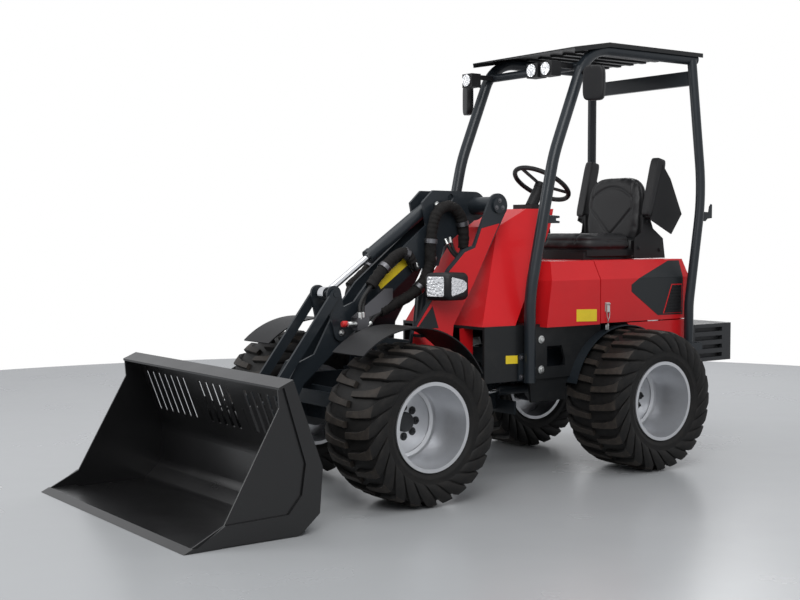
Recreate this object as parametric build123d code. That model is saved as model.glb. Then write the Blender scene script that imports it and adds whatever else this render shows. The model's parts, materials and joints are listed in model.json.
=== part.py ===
from build123d import *
import os
from math import asin, atan2, cos, degrees, hypot, pi, radians, sin

# Compact articulated wheel loader with a four-post canopy, a knee boom and a bucket.
# Millimetres. +X is forward, +Y is the operator's left, +Z is up and the floor is at 0.
# Every place below is measured from the front axle line on the floor. The finished
# pieces are moved along X at the end, so that the origin is under the middle of the machine.

# Driving sizes
WHEELBASE = 1530
TYRE_RADIUS = 372
TYRE_WIDTH = 390
WHEEL_Y = 492
BUCKET_WIDTH = 1535
BUCKET_TIP_X = 1312
REAR_OVERHANG = 877
ROOF_TUBE_Z = 2228
RUNNING_GAP = 0.3
PLATE = 15

AXLE_Z = TYRE_RADIUS
REAR_AXLE_X = -WHEELBASE
PIVOT_X = -WHEELBASE / 2
REAR_END_X = REAR_AXLE_X - REAR_OVERHANG
SHIFT_X = -(BUCKET_TIP_X + REAR_END_X) / 2

# Wheels
CARCASS_RADIUS = TYRE_RADIUS - 22
CARCASS_HALF = 160
SHOULDER_RADIUS = TYRE_RADIUS - 46
BEAD_RADIUS = 214
BEAD_HALF = 172
RIM_BARREL_RADIUS = 199
RIM_FLANGE_RADIUS = 209
RIM_FLANGE_WIDTH = 9
RIM_WALL = 7
RIM_DISC_OFFSET = -52
RIM_DISC_THICKNESS = 10
HUB_RADIUS = 60
HUB_LENGTH = 15
HUB_CAP_RADIUS = 46
HUB_CAP_LENGTH = 16
STUD_CIRCLE = 140
STUD_COUNT = 8
STUD_HOLE_RADIUS = 11
LUGS_PER_SIDE = 24
LUG_WIDTH = 40
LUG_SWEEP = -26
LUG_INNER_Y = 8
LUG_FOOT_RADIUS = TYRE_RADIUS - 60

# Axles
AXLE_BEAM = 110
MOTOR_RADIUS = 108
MOTOR_INNER_Y = 318
FRAME_BOTTOM_Z = AXLE_Z + AXLE_BEAM / 2 + 3

# Boom linkage pins, each (x, z)
BOOM_PIN = (PIVOT_X + 20, AXLE_Z + 1028)
BUCKET_PIN = (520, 240)
LEVER_PIN = (110, AXLE_Z + 403)
LINK_ARM = (40, 190)
TILT_BASE_PIN = (BOOM_PIN[0] + 255, BOOM_PIN[1] + 5)
LIFT_BASE_PIN = (PIVOT_X + 370, AXLE_Z + 98)
LIFT_ROD_PIN = (BOOM_PIN[0] + 275, BOOM_PIN[1] - 270)
LEVER_TOP = (LEVER_PIN[0] + LINK_ARM[0], LEVER_PIN[1] + LINK_ARM[1])
COUPLER_TOP = (BUCKET_PIN[0] + LINK_ARM[0], BUCKET_PIN[1] + LINK_ARM[1])

# Layers of the linkage, as distances out from the middle plane
BOOM_INNER_Y = 45
BOOM_OUTER_Y = BOOM_INNER_Y + PLATE
LEVER_INNER_Y = BOOM_OUTER_Y + 4
LEVER_OUTER_Y = LEVER_INNER_Y + PLATE
LINK_INNER_Y = LEVER_OUTER_Y + 4
LINK_OUTER_Y = LINK_INNER_Y + 14
EAR_INNER_Y = LINK_OUTER_Y + 4
EAR_OUTER_Y = EAR_INNER_Y + 16
EYE_HALF = 24
STUB_INNER_Y = EYE_HALF + 4
BOOM_PIN_RADIUS = 30
BUCKET_PIN_RADIUS = 22
LEVER_PIN_RADIUS = 20
LINK_PIN_RADIUS = 16
CYLINDER_PIN_RADIUS = 18

# Tower
TOWER_OUTER_Y = 250
TOWER_INNER_Y = TOWER_OUTER_Y - PLATE
TOWER_DECK_Z = AXLE_Z + 200
DECK_THICKNESS = 12
BOOM_HUB_RADIUS = 46
BOOM_HUB_HALF = TOWER_INNER_Y - 5

# Cylinders: barrel radius, rod radius, barrel length from its pin, rod length back from its eye
LIFT_BARREL_RADIUS = 38
LIFT_ROD_RADIUS = 20
LIFT_BARREL_LENGTH = 540
LIFT_ROD_LENGTH = 585
TILT_BARREL_RADIUS = 34
TILT_ROD_RADIUS = 17
TILT_BARREL_LENGTH = 470
TILT_ROD_LENGTH = 620
STEER_BARREL_RADIUS = 27
STEER_ROD_RADIUS = 13
STEER_BARREL_LENGTH = 275
STEER_ROD_LENGTH = 290
STEER_Z = AXLE_Z + 58
STEER_REAR = (PIVOT_X - 330, 150)
STEER_FRONT = (PIVOT_X + 120, 150)
STEER_EYE_HALF = 12
STEER_PIN_RADIUS = 12
GLAND_LENGTH = 26

# Front frame
CHASSIS_OUTER_Y = 200
CHASSIS_INNER_Y = CHASSIS_OUTER_Y - PLATE
FRONT_CHASSIS_REAR_X = PIVOT_X + 420
FRONT_CHASSIS_NOSE_X = 250
FRONT_CHASSIS_TOP_Z = TOWER_DECK_Z - DECK_THICKNESS
CROSS_PLATE_TOP_Z = FRONT_CHASSIS_TOP_Z - 60
TONGUE_HALF = 100
TONGUE_LOW_Z = AXLE_Z - 82
TONGUE_THICKNESS = 20
HINGE_RADIUS = 58
HINGE_PIN_RADIUS = 25
FENDER_RADIUS = TYRE_RADIUS + 74
FENDER_WALL = 6
FENDER_INNER_Y = 292
FENDER_OUTER_Y = 545

# Rear frame
REAR_CHASSIS_FRONT_X = PIVOT_X - 135
REAR_CHASSIS_REAR_X = REAR_AXLE_X - 530
REAR_CHASSIS_TOP_Z = AXLE_Z + 268
REAR_CHASSIS_OUTER_Y = 215
BEARER_Z = (REAR_CHASSIS_TOP_Z - 40, REAR_CHASSIS_TOP_Z)
FLOOR_FRONT_X = PIVOT_X + 190
FLOOR_TOP_Z = AXLE_Z + 413
FLOOR_THICKNESS = 15
FLOOR_LOW_Z = FLOOR_TOP_Z - FLOOR_THICKNESS
FLOOR_HALF = 345
SIDE_PANEL_LOW_Z = AXLE_Z + 128
REAR_ARCH_RADIUS = TYRE_RADIUS + 16
SEAT_BOX_FRONT_X = PIVOT_X - 190
HOOD_FRONT_X = REAR_AXLE_X + 185
HOOD_REAR_X = REAR_AXLE_X - 510
HOOD_LOW_Z = FLOOR_LOW_Z + 6
HOOD_TOP_Z = FLOOR_TOP_Z + 325
HOOD_SHOULDER_Z = HOOD_TOP_Z - 100
HOOD_GAP = 6
HOOD_HALF = 392
HOOD_WALL = 6
HOOD_HINGE = (HOOD_REAR_X - 16, HOOD_LOW_Z + 16)
HINGE_LUG_Y = (118, 140)
HINGE_LUG_RADIUS = 13
HOOD_PIN_RADIUS = 7
COUNTERWEIGHT_HALF = 400
COUNTERWEIGHT_LOW_Z = AXLE_Z + 149
COUNTERWEIGHT_TOP_Z = AXLE_Z + 363

# Canopy
POST_RADIUS = 30
POST_Y = 378
REAR_POST_Y = 437
ROOF_THICKNESS = 5
ROOF_HALF = 412
ROOF_DROP = 42
ROOF_RIBS = 7
ROOF_RIB_PITCH = 100
CROSS_BAR = (PIVOT_X - 448, ROOF_TUBE_Z - 93)
CROSS_BAR_RADIUS = 22

# Bucket
BUCKET_HALF = BUCKET_WIDTH / 2
BUCKET_SHELL = 8
BUCKET_SIDE = 8
BUCKET_BAND = 10
SLOT_PITCH = 66
SLOT_WIDTH = 26
SLOT_LENGTH = 214
SLOT_GROUP_PITCH = 500
SLOTS_PER_GROUP = 7
SLOT_GROUPS = 3


# Small shape tools

def plate_y(outline, y_low, y_high):
    """A plate cut to an (x, z) outline, standing between two places along Y."""
    plane = Plane(origin=(0, y_high, 0), x_dir=(1, 0, 0), z_dir=(0, -1, 0))
    return extrude(plane * Polygon(*outline, align=None), amount=y_high - y_low, dir=(0, -1, 0))


def plate_z(outline, z_low, z_high):
    """A plate cut to an (x, y) outline, lying between two heights."""
    face = Plane.XY.offset(z_low) * Polygon(*outline, align=None)
    return extrude(face, amount=z_high - z_low, dir=(0, 0, 1))


def block(x, y, z):
    """A box from its (low, high) pairs along X, Y and Z."""
    size = [pair[1] - pair[0] for pair in (x, y, z)]
    middle = [(pair[0] + pair[1]) / 2 for pair in (x, y, z)]
    return Pos(*middle) * Box(*size)


def bar(start, end, radius):
    """A round bar from one point to another."""
    along = Vector(*end) - Vector(*start)
    foot = (Align.CENTER, Align.CENTER, Align.MIN)
    return Plane(origin=start, z_dir=along) * Cylinder(radius, along.length, align=foot)


def bar_y(pin, radius, y_low, y_high):
    """A round bar along Y through an (x, z) place."""
    return bar((pin[0], y_low, pin[1]), (pin[0], y_high, pin[1]), radius)


def both_sides(shape):
    """The shape and its mirror image on the other side of the machine."""
    return shape + mirror(shape, about=Plane.XZ)


def strap(start, end, radius, y_low, y_high):
    """A flat bar with round ends between two (x, z) pins."""
    angle = degrees(atan2(end[1] - start[1], end[0] - start[0]))
    length = hypot(end[0] - start[0], end[1] - start[1])
    plane = Plane(origin=(0, y_high, 0), x_dir=(1, 0, 0), z_dir=(0, -1, 0))
    middle = Pos((start[0] + end[0]) / 2, (start[1] + end[1]) / 2)
    face = plane * middle * Rot(0, 0, angle) * SlotCenterToCenter(length, 2 * radius)
    return extrude(face, amount=y_high - y_low, dir=(0, -1, 0))


def arch(centre, radius, wall, angles, y_low, y_high):
    """A curved sheet round an (x, z) centre, between two angles from straight ahead."""
    ring = []
    for reach in (radius, radius + wall):
        points = [
            (centre[0] + reach * cos(radians(a)), centre[1] + reach * sin(radians(a)))
            for a in (angles[0], (angles[0] + angles[1]) / 2, angles[1])
        ]
        ring.append(points)
    edge = ThreePointArc(*ring[0]) + Line(ring[0][2], ring[1][2])
    edge += ThreePointArc(*reversed(ring[1])) + Line(ring[1][0], ring[0][0])
    plane = Plane(origin=(0, y_high, 0), x_dir=(1, 0, 0), z_dir=(0, -1, 0))
    return extrude(plane * make_face(edge), amount=y_high - y_low, dir=(0, -1, 0))


def tube(points, radii, radius):
    """A round bar bent along straight runs, with one bend radius for each inner point."""
    path = FilletPolyline(*points, radius=radii)
    return sweep(Plane(origin=path @ 0, z_dir=path % 0) * Circle(radius), path=path)


# Wheels

def wheel_rings():
    """The tyre's section as (y, radius) points, in order round the section."""
    half = TYRE_WIDTH / 2
    bulge = (half, (SHOULDER_RADIUS + BEAD_RADIUS) / 2)
    side = [(CARCASS_HALF, CARCASS_RADIUS), (half - 6, SHOULDER_RADIUS), bulge, (BEAD_HALF, BEAD_RADIUS),
            (BEAD_HALF, RIM_BARREL_RADIUS + 4)]
    return side + [(-y, radius) for y, radius in reversed(side)]


def make_tyre():
    """A tyre about Y: a faceted carcass, one facet for each lug, and two rows of slanted lugs."""
    rings = wheel_rings()
    step = 2 * pi / LUGS_PER_SIDE
    faces = []
    for (y1, r1), (y2, r2) in zip(rings, rings[1:] + rings[:1]):
        for count in range(LUGS_PER_SIDE):
            a, b = count * step, (count + 1) * step
            corners = [
                (r1 * sin(a), y1, r1 * cos(a)), (r1 * sin(b), y1, r1 * cos(b)),
                (r2 * sin(b), y2, r2 * cos(b)), (r2 * sin(a), y2, r2 * cos(a)),
            ]
            faces.append(Face(Wire.make_polygon(corners, close=True)))
    carcass = Solid(Shell(faces))
    sweep, half = LUG_SWEEP / 2, LUG_WIDTH / 2
    lug_reach = abs(sweep) + half
    lug_top = (TYRE_RADIUS ** 2 - lug_reach ** 2) ** 0.5
    outer_y = TYRE_WIDTH / 2 - 1
    lugs = []
    for side in (1, -1):
        inner_y = side * LUG_INNER_Y
        corners = [(-sweep - half, inner_y), (half - sweep, inner_y), (sweep + half, side * outer_y),
                   (sweep - half, side * outer_y)]
        plan = Polygon(*corners, align=None)
        rise = lug_top - LUG_FOOT_RADIUS
        bar_lug = extrude(Plane.XY.offset(LUG_FOOT_RADIUS) * plan, amount=rise, dir=(0, 0, 1))
        for count in range(LUGS_PER_SIDE):
            turn = degrees(step) * (count + (0.25 if side > 0 else 0.75))
            lugs.append(Rot(0, turn, 0) * bar_lug)
    return Part() + [Part(carcass.wrapped)] + lugs


def make_rim():
    """A deep dished rim about Y, its open side towards +Y, with the hub that turns with it."""
    outer = BEAD_HALF + RIM_FLANGE_WIDTH
    disc = RIM_DISC_OFFSET
    back = disc - RIM_DISC_THICKNESS
    bore = RIM_BARREL_RADIUS - RIM_WALL
    section = [
        (0, back), (HUB_RADIUS, back), (bore, back), (bore, -outer), (RIM_FLANGE_RADIUS, -outer),
        (RIM_FLANGE_RADIUS, -BEAD_HALF), (RIM_BARREL_RADIUS, -BEAD_HALF), (RIM_BARREL_RADIUS, BEAD_HALF),
        (RIM_FLANGE_RADIUS, BEAD_HALF), (RIM_FLANGE_RADIUS, outer), (bore, outer), (bore - 22, disc), (0, disc),
    ]
    profile = make_face(Polyline(*[(radius, y, 0) for radius, y in section], close=True))
    rim = revolve(profile, axis=Axis.Y)
    rim += bar((0, back - HUB_LENGTH, 0), (0, back, 0), MOTOR_RADIUS - 12)
    rim += bar((0, disc, 0), (0, disc + HUB_CAP_LENGTH, 0), HUB_CAP_RADIUS)
    for count in range(STUD_COUNT):
        angle = 2 * pi * count / STUD_COUNT
        place = (STUD_CIRCLE / 2 * sin(angle), STUD_CIRCLE / 2 * cos(angle))
        rim -= bar((place[0], disc - 6, place[1]), (place[0], disc + 1, place[1]), STUD_HOLE_RADIUS)
    return rim


def make_wheels():
    tyre = make_tyre()
    rim = make_rim()
    nodes = {}
    # name, x of the axle, side of the machine
    for name, x, side in (("front_left", 0, 1), ("front_right", 0, -1),
                          ("rear_left", REAR_AXLE_X, 1), ("rear_right", REAR_AXLE_X, -1)):
        place = Pos(x, side * WHEEL_Y, AXLE_Z)
        for piece, shape in (("tyre", tyre), ("rim", rim)):
            sided = shape if side > 0 else mirror(shape, about=Plane.XZ)
            nodes[f"{piece}_{name}"] = place * sided
    return nodes


def make_axle(x):
    """A box beam under the frame with a wheel motor at each end."""
    hub_face = WHEEL_Y + RIM_DISC_OFFSET - RIM_DISC_THICKNESS - HUB_LENGTH - RUNNING_GAP
    half = AXLE_BEAM / 2
    axle = block((x - half, x + half), (-MOTOR_INNER_Y, MOTOR_INNER_Y), (AXLE_Z - half, AXLE_Z + half))
    axle += both_sides(bar((x, MOTOR_INNER_Y, AXLE_Z), (x, hub_face, AXLE_Z), MOTOR_RADIUS))
    pad_y = (CHASSIS_INNER_Y - 25, CHASSIS_OUTER_Y + 25)
    axle += both_sides(block((x - 90, x + 90), pad_y, (AXLE_Z + half - 12, FRAME_BOTTOM_Z)))
    return axle


# Front frame, tower and fenders

def tongue_outline():
    """The (x, y) outline of the hinge plates that reach back from the front frame to the pivot."""
    half_steer = STEER_FRONT[1] + 30
    right = [(FRONT_CHASSIS_REAR_X, TONGUE_HALF), (STEER_FRONT[0] + 130, TONGUE_HALF),
             (STEER_FRONT[0] + 95, half_steer), (STEER_FRONT[0] - 20, half_steer), (PIVOT_X, HINGE_RADIUS)]
    return right + [(x, -y) for x, y in reversed(right)]


def make_front_chassis():
    side = [(FRONT_CHASSIS_REAR_X, FRAME_BOTTOM_Z), (FRONT_CHASSIS_NOSE_X - 40, FRAME_BOTTOM_Z),
            (FRONT_CHASSIS_NOSE_X, FRAME_BOTTOM_Z + 40), (FRONT_CHASSIS_NOSE_X, CROSS_PLATE_TOP_Z),
            (FRONT_CHASSIS_NOSE_X - 70, FRONT_CHASSIS_TOP_Z), (FRONT_CHASSIS_REAR_X, FRONT_CHASSIS_TOP_Z)]
    frame = both_sides(plate_y(side, CHASSIS_INNER_Y, CHASSIS_OUTER_Y))
    for x in (FRONT_CHASSIS_REAR_X, 110, FRONT_CHASSIS_NOSE_X - PLATE):
        frame += block((x, x + PLATE), (-CHASSIS_INNER_Y, CHASSIS_INNER_Y), (FRAME_BOTTOM_Z, CROSS_PLATE_TOP_Z))
    rear_wall = (FRONT_CHASSIS_REAR_X, FRONT_CHASSIS_REAR_X + PLATE)
    frame += block(rear_wall, (-CHASSIS_OUTER_Y, CHASSIS_OUTER_Y), (TONGUE_LOW_Z, FRONT_CHASSIS_TOP_Z))
    # The deck's rear edge is cut back in the middle, where the floor's corners pass when the machine bends
    front, rear = PIVOT_X + 645, PIVOT_X + 345
    half_deck = [(front, TOWER_OUTER_Y), (rear, TOWER_OUTER_Y), (rear, TOWER_INNER_Y - 13),
                 (rear + 35, TOWER_INNER_Y - 45)]
    deck = plate_z(half_deck + [(x, -y) for x, y in reversed(half_deck)], FRONT_CHASSIS_TOP_Z, TOWER_DECK_Z)
    upper_low = TOWER_DECK_Z - TONGUE_THICKNESS
    upper = plate_z(tongue_outline(), upper_low, TOWER_DECK_Z)
    upper += bar((PIVOT_X, 0, upper_low), (PIVOT_X, 0, TOWER_DECK_Z), HINGE_RADIUS)
    window = block((PIVOT_X + 285, FRONT_CHASSIS_REAR_X - 1), (-BOOM_INNER_Y - 12, BOOM_INNER_Y + 12),
                   (FRONT_CHASSIS_TOP_Z - 60, TOWER_DECK_Z + 1))
    frame += (deck + upper) - window
    lower_top = TONGUE_LOW_Z + TONGUE_THICKNESS
    frame += plate_z(tongue_outline(), TONGUE_LOW_Z, lower_top)
    frame += bar((PIVOT_X, 0, TONGUE_LOW_Z), (PIVOT_X, 0, lower_top), HINGE_RADIUS)
    # Hinge pins, each reaching from its plate into the rear frame's hub
    frame += bar((PIVOT_X, 0, lower_top), (PIVOT_X, 0, lower_top + 60), HINGE_PIN_RADIUS)
    frame += bar((PIVOT_X, 0, upper_low - 60), (PIVOT_X, 0, upper_low), HINGE_PIN_RADIUS)
    # Lift cylinder base ears
    x, z = LIFT_BASE_PIN
    ear = [(x - 45, lower_top), (FRONT_CHASSIS_REAR_X, lower_top), (FRONT_CHASSIS_REAR_X, z + 30),
           (x + 20, z + 40), (x - 20, z + 40), (x - 45, z + 10)]
    frame += both_sides(plate_y(ear, BOOM_INNER_Y, BOOM_OUTER_Y))
    frame += bar_y(LIFT_BASE_PIN, LEVER_PIN_RADIUS, -BOOM_OUTER_Y, BOOM_OUTER_Y)
    # Steering cylinder clevises
    sx, sy = STEER_FRONT
    post = block((sx + 62, sx + 88), (sy - 24, sy + 24), (lower_top, STEER_Z + 30))
    for low in (STEER_Z - STEER_EYE_HALF - 16, STEER_Z + STEER_EYE_HALF + 6):
        post += block((sx - 4, sx + 88), (sy - 20, sy + 20), (low, low + 10))
        post += bar((sx - 4, sy, low), (sx - 4, sy, low + 10), 20)
    frame += both_sides(post)
    return frame


def make_tower():
    """Two leaning plates on the front deck that carry the boom's pin, tied low down by a cross plate."""
    px, pz = BOOM_PIN
    outline = [(px + 595, TOWER_DECK_Z), (px + 552, pz - 615), (px + 323, pz - 314), (px + 227, pz - 225),
               (px + 162, pz - 205), (px + 55, pz + 30), (px, pz + 62), (px - 58, pz - 22),
               (px + 170, pz - 407), (px + 302, pz - 610), (px + 325, TOWER_DECK_Z)]
    tower = plate_y(outline, TOWER_INNER_Y, TOWER_OUTER_Y)
    tower += bar_y(BOOM_PIN, 62, TOWER_INNER_Y, TOWER_OUTER_Y)
    tower += bar_y(BOOM_PIN, 40, TOWER_OUTER_Y, TOWER_OUTER_Y + 12)
    tower = both_sides(tower)
    tower += bar_y(BOOM_PIN, BOOM_PIN_RADIUS, -TOWER_OUTER_Y, TOWER_OUTER_Y)
    tower += block((px + 520, px + 532), (-TOWER_INNER_Y, TOWER_INNER_Y), (TOWER_DECK_Z, TOWER_DECK_Z + 158))
    return tower


def make_front_fenders():
    """Arched sheets over the front tyres, each on a bracket from the tower."""
    centre = (0, AXLE_Z)
    fender = arch(centre, FENDER_RADIUS, FENDER_WALL, (48, 152), FENDER_INNER_Y, FENDER_OUTER_Y)
    bracket_x = BOOM_PIN[0] + 520
    bracket_z = AXLE_Z + (FENDER_RADIUS ** 2 - bracket_x ** 2) ** 0.5
    across = (TOWER_OUTER_Y, FENDER_INNER_Y + 20)
    fender += block((bracket_x - 25, bracket_x + 25), across, (bracket_z - 6, bracket_z + 8))
    return both_sides(fender)


LAMP_X = (BOOM_PIN[0] + 275, BOOM_PIN[0] + 490)
LAMP_Z = (BOOM_PIN[1] - 472, BOOM_PIN[1] - 336)
LAMP_OUTER_Y = 388
LAMP_RIM = 12


def make_headlamps():
    """Two lamp housings on the tower's outer sides, with a lens recess in front."""
    x = LAMP_X
    y = (TOWER_OUTER_Y, LAMP_OUTER_Y)
    outline = [(x[0], y[0]), (x[1], y[0]), (x[1], y[1] - 25), (x[1] - 20, y[1]), (x[0], y[1] - 30)]
    lamp = plate_z(outline, *LAMP_Z)
    lamp = fillet(lamp.edges().filter_by(Axis.X), 16)
    lens = (LAMP_Z[0] + LAMP_RIM, LAMP_Z[1] - LAMP_RIM)
    lamp -= block((x[1] - LAMP_RIM, x[1] + 1), (y[0] + LAMP_RIM, y[1] - 37), lens)
    side = [(x[1] - 45, lens[0] + 8), (x[0] + 25, lens[0] + 30), (x[0] + 25, lens[1] - 30),
            (x[1] - 45, lens[1] - 8)]
    lamp -= plate_y(side, y[1] - 36, y[1] + 1)
    return both_sides(lamp)


# Boom, lever, link and coupler

def boom_outline():
    """The (x, z) outline of the boom's side plates, from the rear pin over the knee to the front pin."""
    px, pz = BOOM_PIN
    bx, bz = BUCKET_PIN
    ex, ez = LIFT_ROD_PIN
    lx, lz = LEVER_PIN
    return [
        (px, pz + 75), (px + 275, pz + 78), (px + 343, pz + 15), (px + 320, pz - 100), (lx - 170, lz + 240),
        (lx - 90, lz + 148), (lx + 25, lz + 105), (lx + 142, lz - 99), (lx + 235, lz - 135), (bx + 52, bz + 45),
        (bx + 42, bz - 42), (bx - 42, bz - 42), (lx + 205, lz - 240), (lx - 170, lz + 70), (ex + 130, ez - 68),
        (ex + 36, ez - 40), (ex - 36, ez - 40), (ex - 70, ez + 60), (px, pz - 75),
    ]


def make_boom():
    """A box boom with a high knee at its rear and a fork at its front, with the pins that it holds."""
    boom = both_sides(plate_y(boom_outline(), BOOM_INNER_Y, BOOM_OUTER_Y))
    px, pz = BOOM_PIN
    lx, lz = LEVER_PIN
    ex, ez = LIFT_ROD_PIN
    wall = DECK_THICKNESS + 4
    top_line = [(px + 320, pz - 178), (lx - 170, lz + 160)]
    low_line = [(ex + 130, ez - 66), (lx - 170, lz + 72), (lx + 140, lz - 184)]
    for line in (top_line, low_line):
        outline = [(x, z + wall) for x, z in line] + list(reversed(line))
        boom += plate_y(outline, -BOOM_INNER_Y, BOOM_INNER_Y)
    boom += bar_y(BOOM_PIN, 75, -BOOM_OUTER_Y, BOOM_OUTER_Y)
    boom += bar_y(BOOM_PIN, BOOM_HUB_RADIUS, -BOOM_HUB_HALF, BOOM_HUB_HALF)
    boom -= bar_y(BOOM_PIN, BOOM_PIN_RADIUS + RUNNING_GAP, -BOOM_HUB_HALF, BOOM_HUB_HALF)
    boom += bar_y(BUCKET_PIN, 60, -BOOM_OUTER_Y, BOOM_OUTER_Y)
    boom += bar_y(BUCKET_PIN, 40, -LEVER_OUTER_Y, LEVER_OUTER_Y)
    boom -= bar_y(BUCKET_PIN, BUCKET_PIN_RADIUS + RUNNING_GAP, -LEVER_OUTER_Y, LEVER_OUTER_Y)
    boom += bar_y(LEVER_PIN, LEVER_PIN_RADIUS, -LEVER_OUTER_Y - 2, LEVER_OUTER_Y + 2)
    boom += bar_y(TILT_BASE_PIN, CYLINDER_PIN_RADIUS, -BOOM_OUTER_Y - 6, BOOM_OUTER_Y + 6)
    boom += both_sides(bar_y(LIFT_ROD_PIN, CYLINDER_PIN_RADIUS, STUB_INNER_Y, BOOM_OUTER_Y + 6))
    boom -= bar_y(LIFTING_EYE, LIFTING_EYE_RADIUS, -BOOM_OUTER_Y, BOOM_OUTER_Y)
    return boom


LIFTING_EYE = (BOOM_PIN[0] + 160, BOOM_PIN[1] + 42)
LIFTING_EYE_RADIUS = 19


SLEEVE_RADIUS = 26
SLEEVE_Y = BOOM_OUTER_Y + SLEEVE_RADIUS + 8
# side of the boom, route as (x, z) steps from the boom's rear pin, bend radii, and the clips' steps
SLEEVES = (
    (1, ((105, -220), (90, -70), (205, 20), (320, -70), (320, -290)), (80, 75, 80), ((90, -70), (320, -180))),
    (1, ((435, -290), (475, -210), (615, -310), (690, -400)), (50, 120), ((475, -230), (615, -330))),
    (-1, ((185, -70), (320, -100), (445, -230), (690, -410)), (90, 150), ((320, -110), (560, -318))),
)


def make_boom_hoses():
    """Sleeved hose bundles clipped along the boom's two sides."""
    px, pz = BOOM_PIN
    hoses = Part()
    for side, route, bends, clips in SLEEVES:
        path = [(px + x, side * SLEEVE_Y, pz + z) for x, z in route]
        hoses += tube(path, list(bends), SLEEVE_RADIUS)
        inner, outer = sorted((side * BOOM_OUTER_Y, side * SLEEVE_Y))
        for x, z in clips:
            hoses += block((px + x - 12, px + x + 12), (inner, outer), (pz + z - 12, pz + z + 12))
    return hoses


OUTLET_ARM = (BOOM_PIN[0] + 595, BOOM_PIN[1] - 440)
OUTLET_PLATE_Y = (106, 114)
OUTLET_BLOCK = ((0, 70), (114, 160), (LEVER_PIN[1] + 15, LEVER_PIN[1] + 75))
COUPLING_RADIUS = 17
COUPLING_LENGTH = 48


def make_hydraulic_block():
    """The auxiliary outlet: a plate standing off the boom's left side, with two couplings facing forward."""
    ax, az = OUTLET_ARM
    x, y, z = OUTLET_BLOCK
    outlet = bar_y(OUTLET_ARM, 18, BOOM_OUTER_Y, OUTLET_PLATE_Y[0])
    outline = [(ax - 25, az + 25), (ax + 25, az + 25), (x[1], z[1]), (x[1], z[0]), (x[0] + 10, z[0]),
               (ax - 25, az - 30)]
    outlet += plate_y(outline, *OUTLET_PLATE_Y)
    outlet += block(x, y, z)
    middle = (z[0] + z[1]) / 2
    for place in (y[0] + COUPLING_RADIUS - 6, y[1] - COUPLING_RADIUS + 6):
        outlet += bar((x[1], place, middle), (x[1] + COUPLING_LENGTH, place, middle), COUPLING_RADIUS - 6)
    return outlet


def make_tilt_lever():
    """Two plates beside the boom that the tilt cylinder swings, with the link's pins at the top."""
    lever = strap(LEVER_PIN, LEVER_TOP, 40, LEVER_INNER_Y, LEVER_OUTER_Y)
    lever -= bar_y(LEVER_PIN, LEVER_PIN_RADIUS + RUNNING_GAP, LEVER_INNER_Y, LEVER_OUTER_Y)
    lever += bar_y(LEVER_TOP, LINK_PIN_RADIUS, STUB_INNER_Y, LINK_OUTER_Y + 3)
    return both_sides(lever)


def make_tilt_link():
    """Two bars from the lever's top to the coupler's top."""
    link = strap(LEVER_TOP, COUPLER_TOP, 24, LINK_INNER_Y, LINK_OUTER_Y)
    for pin in (LEVER_TOP, COUPLER_TOP):
        link -= bar_y(pin, LINK_PIN_RADIUS + RUNNING_GAP, LINK_INNER_Y, LINK_OUTER_Y)
    return both_sides(link)


COUPLER_TUBES = ((600, 150), (645, 400))
COUPLER_TUBE_RADIUS = 25
COUPLER_HALF = 215


def make_coupler():
    """The quick-attach frame: two ears on the boom's front pin, two cross tubes and two outer plates."""
    ear = [(478, 225), (510, 195), (575, 120), (625, 120), (652, 262), (678, 415), (640, 435), (588, 462),
           (540, 462), (500, 300)]
    coupler = plate_y(ear, EAR_INNER_Y, EAR_OUTER_Y)
    coupler += bar_y(BUCKET_PIN, 48, EAR_INNER_Y, EAR_OUTER_Y)
    coupler += bar_y(COUPLER_TOP, LINK_PIN_RADIUS, LINK_INNER_Y - 2, EAR_OUTER_Y + 8)
    outer = [(575, 120), (625, 120), (650, 262), (680, 412), (640, 435), (605, 300)]
    coupler += plate_y(outer, COUPLER_HALF - PLATE, COUPLER_HALF)
    coupler = both_sides(coupler)
    coupler += bar_y(BUCKET_PIN, BUCKET_PIN_RADIUS, -EAR_OUTER_Y - 8, EAR_OUTER_Y + 8)
    for place in COUPLER_TUBES:
        coupler += bar_y(place, COUPLER_TUBE_RADIUS, -COUPLER_HALF, COUPLER_HALF)
    return coupler


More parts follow.
